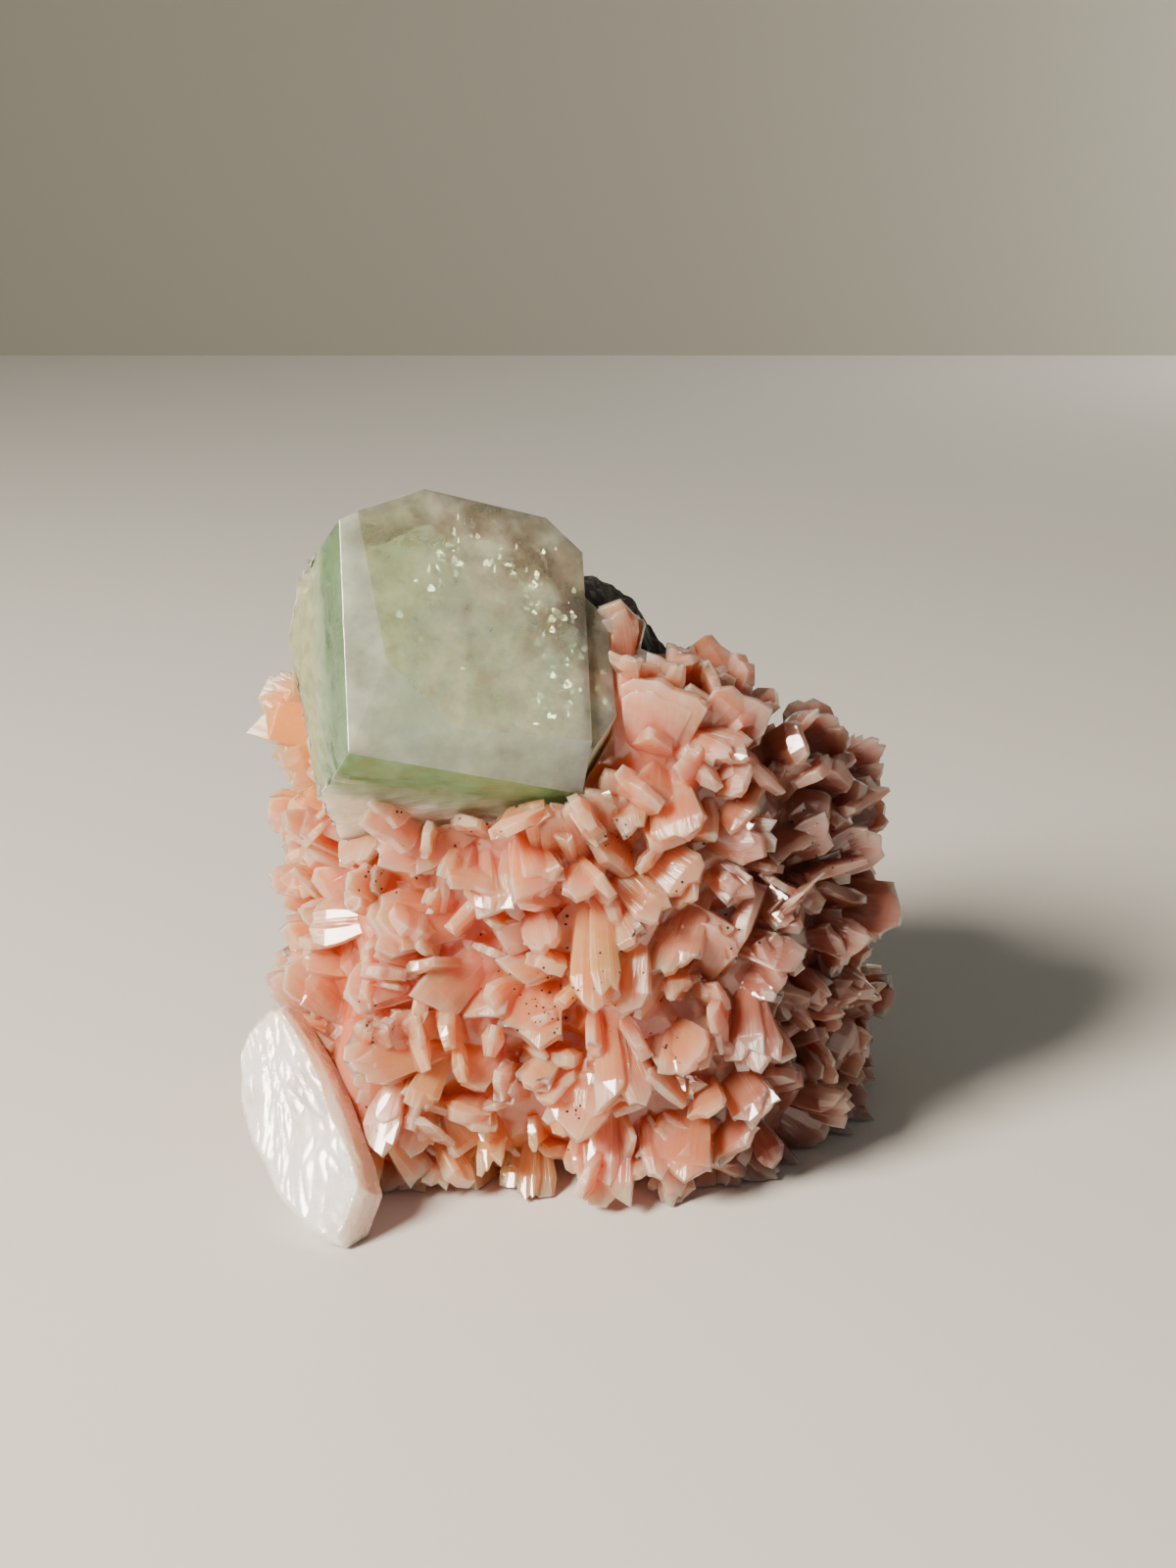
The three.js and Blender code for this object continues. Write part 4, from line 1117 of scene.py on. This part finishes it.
def buildApophyllite():
    mesh, build = greenMesh("apophyllite_block")
    bmesh.ops.bevel(
        build, geom=build.edges[:], offset=greenCrystal["edge"] * mm, segments=2, profile=0.6,
        affect="EDGES", clamp_overlap=True,
    )
    bmesh.ops.triangulate(build, faces=build.faces)
    for _ in range(greenCrystal["rounds"]):
        long = [edge for edge in build.edges if edge.calc_length() > greenCrystal["longestEdge"] * mm]
        bmesh.ops.subdivide_edges(build, edges=long, cuts=1)
        bmesh.ops.triangulate(build, faces=build.faces, quad_method="SHORT_EDGE", ngon_method="EAR_CLIP")
    build.normal_update()
    places = np.array([vertex.co for vertex in build.verts]) / mm
    depths = (places - greenCorner) @ greenOut
    start, rise = greenCrystal["frostStart"]
    end, fall = greenCrystal["frostEnd"]
    amount = greenCrystal["frost"] * np.clip((start - depths) / rise, 0, 1)
    amount *= np.clip((depths - end) / fall, 0, 1)
    relief = amount * (smoothNoise(places, greenCrystal["frostSize"], 4) - 0.5)
    for vertex, height in zip(build.verts, relief):
        vertex.co += vertex.normal * (height * mm)
    build.to_mesh(mesh)
    build.free()
    crystal = newObject("apophyllite_block", mesh)
    mount(crystal, "apophyllite_crystal", apophylliteMaterial())


def buildHeart():
    mesh, build = greenMesh("apophyllite_heart")
    places = np.array([vertex.co for vertex in build.verts]) / mm - greenCorner
    a, b, c = (places @ axis for axis in (greenRight, greenUp, greenOut))
    middle, share = greenCrystal["heartMiddle"], greenCrystal["heartShare"]
    reach = (c - greenCrystal["back"]) / greenCrystal["deep"]  # 0 at the crystal's back
    c = greenCrystal["heartBack"] + reach * (greenCrystal["heartFront"] - greenCrystal["heartBack"])
    a = middle + (a - middle) * share
    b = middle + (b - middle) * share
    moved = greenCorner + a[:, None] * greenRight + b[:, None] * greenUp + c[:, None] * greenOut
    for vertex, place in zip(build.verts, moved):
        vertex.co = Vector(place) * mm
    build.to_mesh(mesh)
    build.free()
    heart = newObject("apophyllite_heart", mesh)
    bakeModifier(heart, "REMESH", mode="VOXEL", voxel_size=greenCrystal["heartVoxel"] * mm)
    places = verticesOf(heart.data) / mm
    inward = unit(greenMiddle - places)
    waves = 0.5 + 0.5 * smoothNoise(places, greenCrystal["heartWaveSize"], 6)
    waves += 0.25 * smoothNoise(places, greenCrystal["heartWaveSize"] / 3, 7)
    moveVertices(heart.data, places + inward * (waves * greenCrystal["heartWaves"])[:, None])
    mount(heart, material=heartMaterial())


# Small bits: black grains in the hollows of the crust and glittering cracks inside the green crystal

grains = {
    "seed": 5,
    # across and up on the front's grid, how many, and how far they lie apart
    "clusters": [(-3.5, -22, 30, 1.7), (3, -5, 16, 1), (-9.5, -2.8, 12, 1.3), (-22, -9.5, 14, 1.3),
                 (-22, -24, 9, 1.3), (23.5, -7, 14, 1.6), (-6, -20.5, 12, 2.2), (1.5, -19, 8, 1.5),
                 (-13, -5.5, 9, 1.5), (-1, -33.5, 5, 0.7), (8, -27.5, 8, 1.2), (-19, -3, 6, 1.4),
                 (16, -15, 10, 2), (10.5, -9, 6, 1.4)],
    "scattered": 420,
    "tries": 4000,
    "triesFrom": 90,  # outside the part, where the tries for scattered grains start
    "deepest": 2.0,  # grains lie no further out from the core than this
    "size": (0.12, 0.36),
}
cracks = {
    "seed": 8,
    # right, up and out along the crystal's own axes, how many, and how far they lie apart
    "clusters": [(7.6, 18, 1.2, 34, 1.1), (10.3, 21.3, 1.2, 16, 1), (14, 19.8, 1, 16, 1.1),
                 (15.6, 17.6, 1.2, 50, 0.9), (18, 15.1, 1.2, 40, 1.1), (19.7, 7.6, 1.2, 40, 1.2),
                 (18.2, 5.5, 1.4, 24, 1), (20.6, 11, 1.2, 20, 1.4), (12.6, 12, 0.5, 10, 3),
                 (19, 20, 1, 14, 1.6), (22.6, 9, 0.6, 16, 1.6)],
    "depth": (0.35, 1.5),  # how far they lie apart in depth, and the foremost place
    "cover": 0.4,  # the least way to the crystal's surface
    "size": (0.12, 0.95),
    "longer": 1.3,  # how much longer than wide
    "thick": 0.06,
    "turn": 0.08,
}


def scatterBits(name, shape, places, turns, sizes, material):
    # one shape on every point, turned and sized by the point's own attributes
    tree, given, result = newTree("scatterBits", [("Shape", "Object", None), ("Material", "Material", None)])
    add = partial(addNode, tree)
    turn, size = (
        add("GeometryNodeInputNamedAttribute", {"Name": spot}, "Attribute", data_type="FLOAT_VECTOR")
        for spot in ("turn", "size")
    )
    placed = add("GeometryNodeInstanceOnPoints", {
        "Points": given.outputs["Geometry"],
        "Instance": add("GeometryNodeObjectInfo", {"Object": given.outputs["Shape"]}, "Geometry"),
        "Rotation": add("FunctionNodeEulerToRotation", {"Euler": turn}),
        "Scale": size,
    })
    realized = add("GeometryNodeRealizeInstances", {"Geometry": placed})
    finished = add("GeometryNodeSetMaterial", {"Geometry": realized, "Material": given.outputs["Material"]})
    tree.links.new(finished, result.inputs["Geometry"])
    bits = meshObject(name, np.array(places) * mm)
    addSpots(bits.data, "turn", turns)
    addSpots(bits.data, "size", sizes * mm)
    bakeModifier(bits, "NODES", {"Shape": shape, "Material": material}, node_group=tree)
    dropObject(shape)
    return bits


def grainMaterial():
    # basalt grains: black and dull
    material, add, shader = newMaterial("basaltGrains")
    place = add("ShaderNodeTexCoord", out="Object")
    patches = add("ShaderNodeTexNoise", {"Vector": place, "Scale": 700.0})
    setSockets(shader, {
        "Base Color": painted(add, "#0c0a09", [(patches, 0.4, 0.7, 0.0, 1.0, "#2d211b")]),
        "Roughness": 0.7,
    })
    return material


def buildGrains(crust):
    random = np.random.default_rng(grains["seed"])
    surface = surfaceOf(crust.data)
    places = []
    for across, up, count, reach in grains["clusters"]:
        for x, y in random.normal((across, up), reach, (count, 2)):
            hit = surface.ray_cast(Vector(eye * mm), Vector(unit(sightTo(x, y))))[0]
            if hit:
                places.append(np.array(hit) / mm)
    found = 0
    for direction in unit(random.normal(0, 1, (grains["tries"], 3))):
        start = (crustShape["centre"] + direction * grains["triesFrom"]) * mm
        hit = surface.ray_cast(Vector(start), Vector(-direction))[0]
        if hit and found < grains["scattered"]:
            place = np.array(hit) / mm
            if heightOver(crustShape, place[None])[0] < grains["deepest"]:
                places.append(place)
                found += 1
    low, high = grains["size"]
    sizes = random.uniform(low, high, (len(places), 1)) * random.uniform(0.6, 1.2, (len(places), 3)) / 2
    turns = random.uniform(0, 2 * math.pi, (len(places), 3))
    build = bmesh.new()
    bmesh.ops.create_icosphere(build, subdivisions=1, radius=1)
    grain = builtObject("grain", build, inScene=False)
    mount(scatterBits("basalt_grains", grain, places, turns, sizes, grainMaterial()))


def crackMaterial():
    # cracks in apophyllite: thin films of air that mirror the light, white to pale green
    material, add, shader = newMaterial("airFilmCracks")
    place = add("ShaderNodeTexCoord", out="Object")
    patches = add("ShaderNodeTexNoise", {"Vector": place, "Scale": 300.0})
    setSockets(shader, {
        "Base Color": painted(add, "#ffffff", [(patches, 0.5, 0.65, 0.0, 1.0, "#d9fbe6")]),
        "Roughness": 0.15,
        "Metallic": 0.85,
    })
    return material


def insideGreen(place, target):
    # the way that light takes inside the crystal to leave its front face towards the target
    toward = unit(target - place)
    along = (toward - (toward @ greenOut) * greenOut) / greenCrystal["ior"]
    return along + math.sqrt(1 - along @ along) * greenOut


def buildCracks():
    random = np.random.default_rng(cracks["seed"])
    places = []
    turns = []
    surface = surfaceOf(cadNodes["apophyllite_crystal"].data)
    depthReach, foremost = cracks["depth"]
    for a, b, c, count, reach in cracks["clusters"]:
        for x, y, z in random.normal((a, b, c), (reach, reach, depthReach), (count, 3)):
            place = greenCorner + x * greenRight + y * greenUp + min(z, foremost) * greenOut
            nearest, outward = surface.find_nearest(Vector(place * mm))[:2]
            if (nearest - Vector(place * mm)).dot(outward) < cracks["cover"] * mm:
                continue
            halfway = unit(insideGreen(place, eye) + insideGreen(place, keyLamp))
            facing = unit(halfway + random.normal(0, cracks["turn"], 3))
            places.append(place)
            turns.append(Vector(facing).to_track_quat("Z", "Y").to_euler())
    low, high = cracks["size"]
    sizes = random.uniform(low, high, (len(places), 3)) * (1, cracks["longer"], 1)
    sizes[:, 2] = cracks["thick"]
    # a ragged flat bit, one unit wide; each corner: its angle in radians and its share of the reach
    outline = [(math.cos(t) * r, math.sin(t) * r) for t, r in
               ((0, 1), (0.9, 0.7), (1.8, 1), (2.9, 0.8), (3.7, 1), (4.6, 0.65), (5.5, 0.9))]
    points = [(x * 0.5, y * 0.5, z) for z in (-0.5, 0.5) for x, y in outline]
    count = len(outline)
    faces = [tuple(range(count))[::-1], tuple(range(count, 2 * count))]
    faces += [(i, (i + 1) % count, (i + 1) % count + count, i + count) for i in range(count)]
    crack = meshObject("crack", points, faces)
    mount(scatterBits("apophyllite_cracks", crack, places, turns, sizes, crackMaterial()))


# White stilbite: a thick plate whose broad face is covered with overlapping growth scales

whiteCrystal = {
    "outline": [
        (-1.4, 13.2), (-4.5, 12), (-6.1, 10.2), (-6.5, 7.6), (-7.2, 5.8), (-7.3, 4.9), (-7, 1), (-6.3, -1.3),
        (-5.4, -5.2), (-3.4, -8.9), (-1.2, -11.5), (0.4, -12.5), (1.6, -11.6), (4.2, -8.6), (4.2, -5.2),
        (3.6, -0.2), (3, 4.1), (2.2, 7), (1.2, 10), (0.2, 12.6),
    ],
    "rim": 0.9,
    "voxel": 0.2,
    "scaleSize": (2.4, 6.0),  # a growth scale's width and length
    "fan": 0.35,
    "fanLength": 12,
    "bend": 0.45,
    "swell": 0.5,
    "swellSize": 4.5,
    "sunk": 0.7,
    "relief": 0.36,
}


def pearlMaterial():
    # stilbite sheaf face: white, pearly and finely scaled, greyer where it is clearer, cream on its flank
    material, add, shader = newMaterial("pearlyStilbite")
    place = add("ShaderNodeTexCoord", out="Object")
    normal = add("ShaderNodeTexCoord", out="Normal")
    flank = add("ShaderNodeVectorMath", {0: normal, 1: tuple(whiteAcross)}, "Value", operation="DOT_PRODUCT")
    patches = add("ShaderNodeTexNoise", {"Vector": place, "Scale": 120.0})
    fine = add("ShaderNodeTexNoise", {"Vector": place, "Scale": 900.0, "Detail": 3.0})
    height = add("ShaderNodeSeparateXYZ", {0: place}, "Z")
    setSockets(shader, {
        "Base Color": painted(add, "#faf6f3", [
            (patches, 0.42, 0.62, 0.0, 0.75, "#cfc6c1"),
            (height, 0.012, 0.019, 0.0, 0.5, "#efc8ba"),
            (flank, 0.3, 0.9, 0.0, 0.9, "#f6dcc2"),
        ]),
        "Roughness": stepped(add, (fine, 0.3, 0.7, 0.12, 0.35)),
        "Transmission Weight": 0.2,
        "Coat Weight": 1,
        "Coat Roughness": 0.08,
        "Subsurface Weight": 0.9,
        "Subsurface Radius": (1, 0.8, 0.65),
        "Subsurface Scale": 0.0025,
        "Normal": add("ShaderNodeBump", {"Strength": 0.4, "Distance": 0.0001, "Height": fine}),
    })
    return material


def whitePlate():
    build = bmesh.new()
    rim = whiteCrystal["rim"]
    outline = np.array(whiteCrystal["outline"], float)
    rings = []
    for inset, height in ((rim, 0), (0, -rim), (0, rim - whiteThick), (rim, -whiteThick)):
        ring = outline - unit(outline) * inset
        places = whiteCentre + ring[:, :1] * whiteAcross + ring[:, 1:] * whiteUp + height * whiteLook
        rings.append([build.verts.new(Vector(p) * mm) for p in places])
    count = len(outline)
    for upper, lower in zip(rings, rings[1:]):
        for i in range(count):
            build.faces.new((upper[i - 1], upper[i], lower[i], lower[i - 1]))
    build.faces.new(rings[0])
    build.faces.new(rings[-1])
    bmesh.ops.recalc_face_normals(build, faces=build.faces)
    return builtObject("pearly_plate", build)


def scaleRelief(points):
    # growth scales: sharp low crests of two sizes that run along the crystal and fan out towards its end
    away = points - whiteCentre
    wide, long = whiteCrystal["scaleSize"]
    up = away @ whiteUp
    fan = 1 + whiteCrystal["fan"] * np.clip(-up / whiteCrystal["fanLength"], -1, 1)
    flat = np.stack([away @ whiteAcross / wide / fan, up / long, away @ whiteLook / wide], axis=-1)
    bend = np.stack([smoothNoise(flat, 1.6, 3), smoothNoise(flat, 1.6, 8), np.zeros(len(flat))], axis=-1)
    bent = flat + whiteCrystal["bend"] * bend
    level = 0.5 * np.abs(smoothNoise(bent, 1.0, 5)) + 0.3 * np.abs(smoothNoise(bent, 0.4, 9))
    level = level - whiteCrystal["swell"] * smoothNoise(away, whiteCrystal["swellSize"], 11)
    return (level - whiteCrystal["sunk"]) * whiteCrystal["relief"]


def buildPearlyCrystal():
    plate = whitePlate()
    bakeModifier(plate, "REMESH", mode="VOXEL", voxel_size=whiteCrystal["voxel"] * mm)
    places = verticesOf(plate.data) / mm
    normals = verticesOf(plate.data, "normal")
    # full relief on the broad face, a quarter of it on the back
    relief = scaleRelief(places) * np.clip((normals @ whiteLook + 0.3) / 0.6, 0.25, 1)
    moveVertices(plate.data, places + normals * relief[:, None])
    cutFlat(plate, crustBlades["foot"], mainOnly=False)
    mount(plate, "pearly_stilbite_crystal", pearlMaterial())


addCamera()
addStage()
addLights()
print("camera, floor and lights")
buildGrains(buildCrust())
buildBasalt()
buildApophyllite()
buildHeart()
buildCracks()
buildPearlyCrystal()
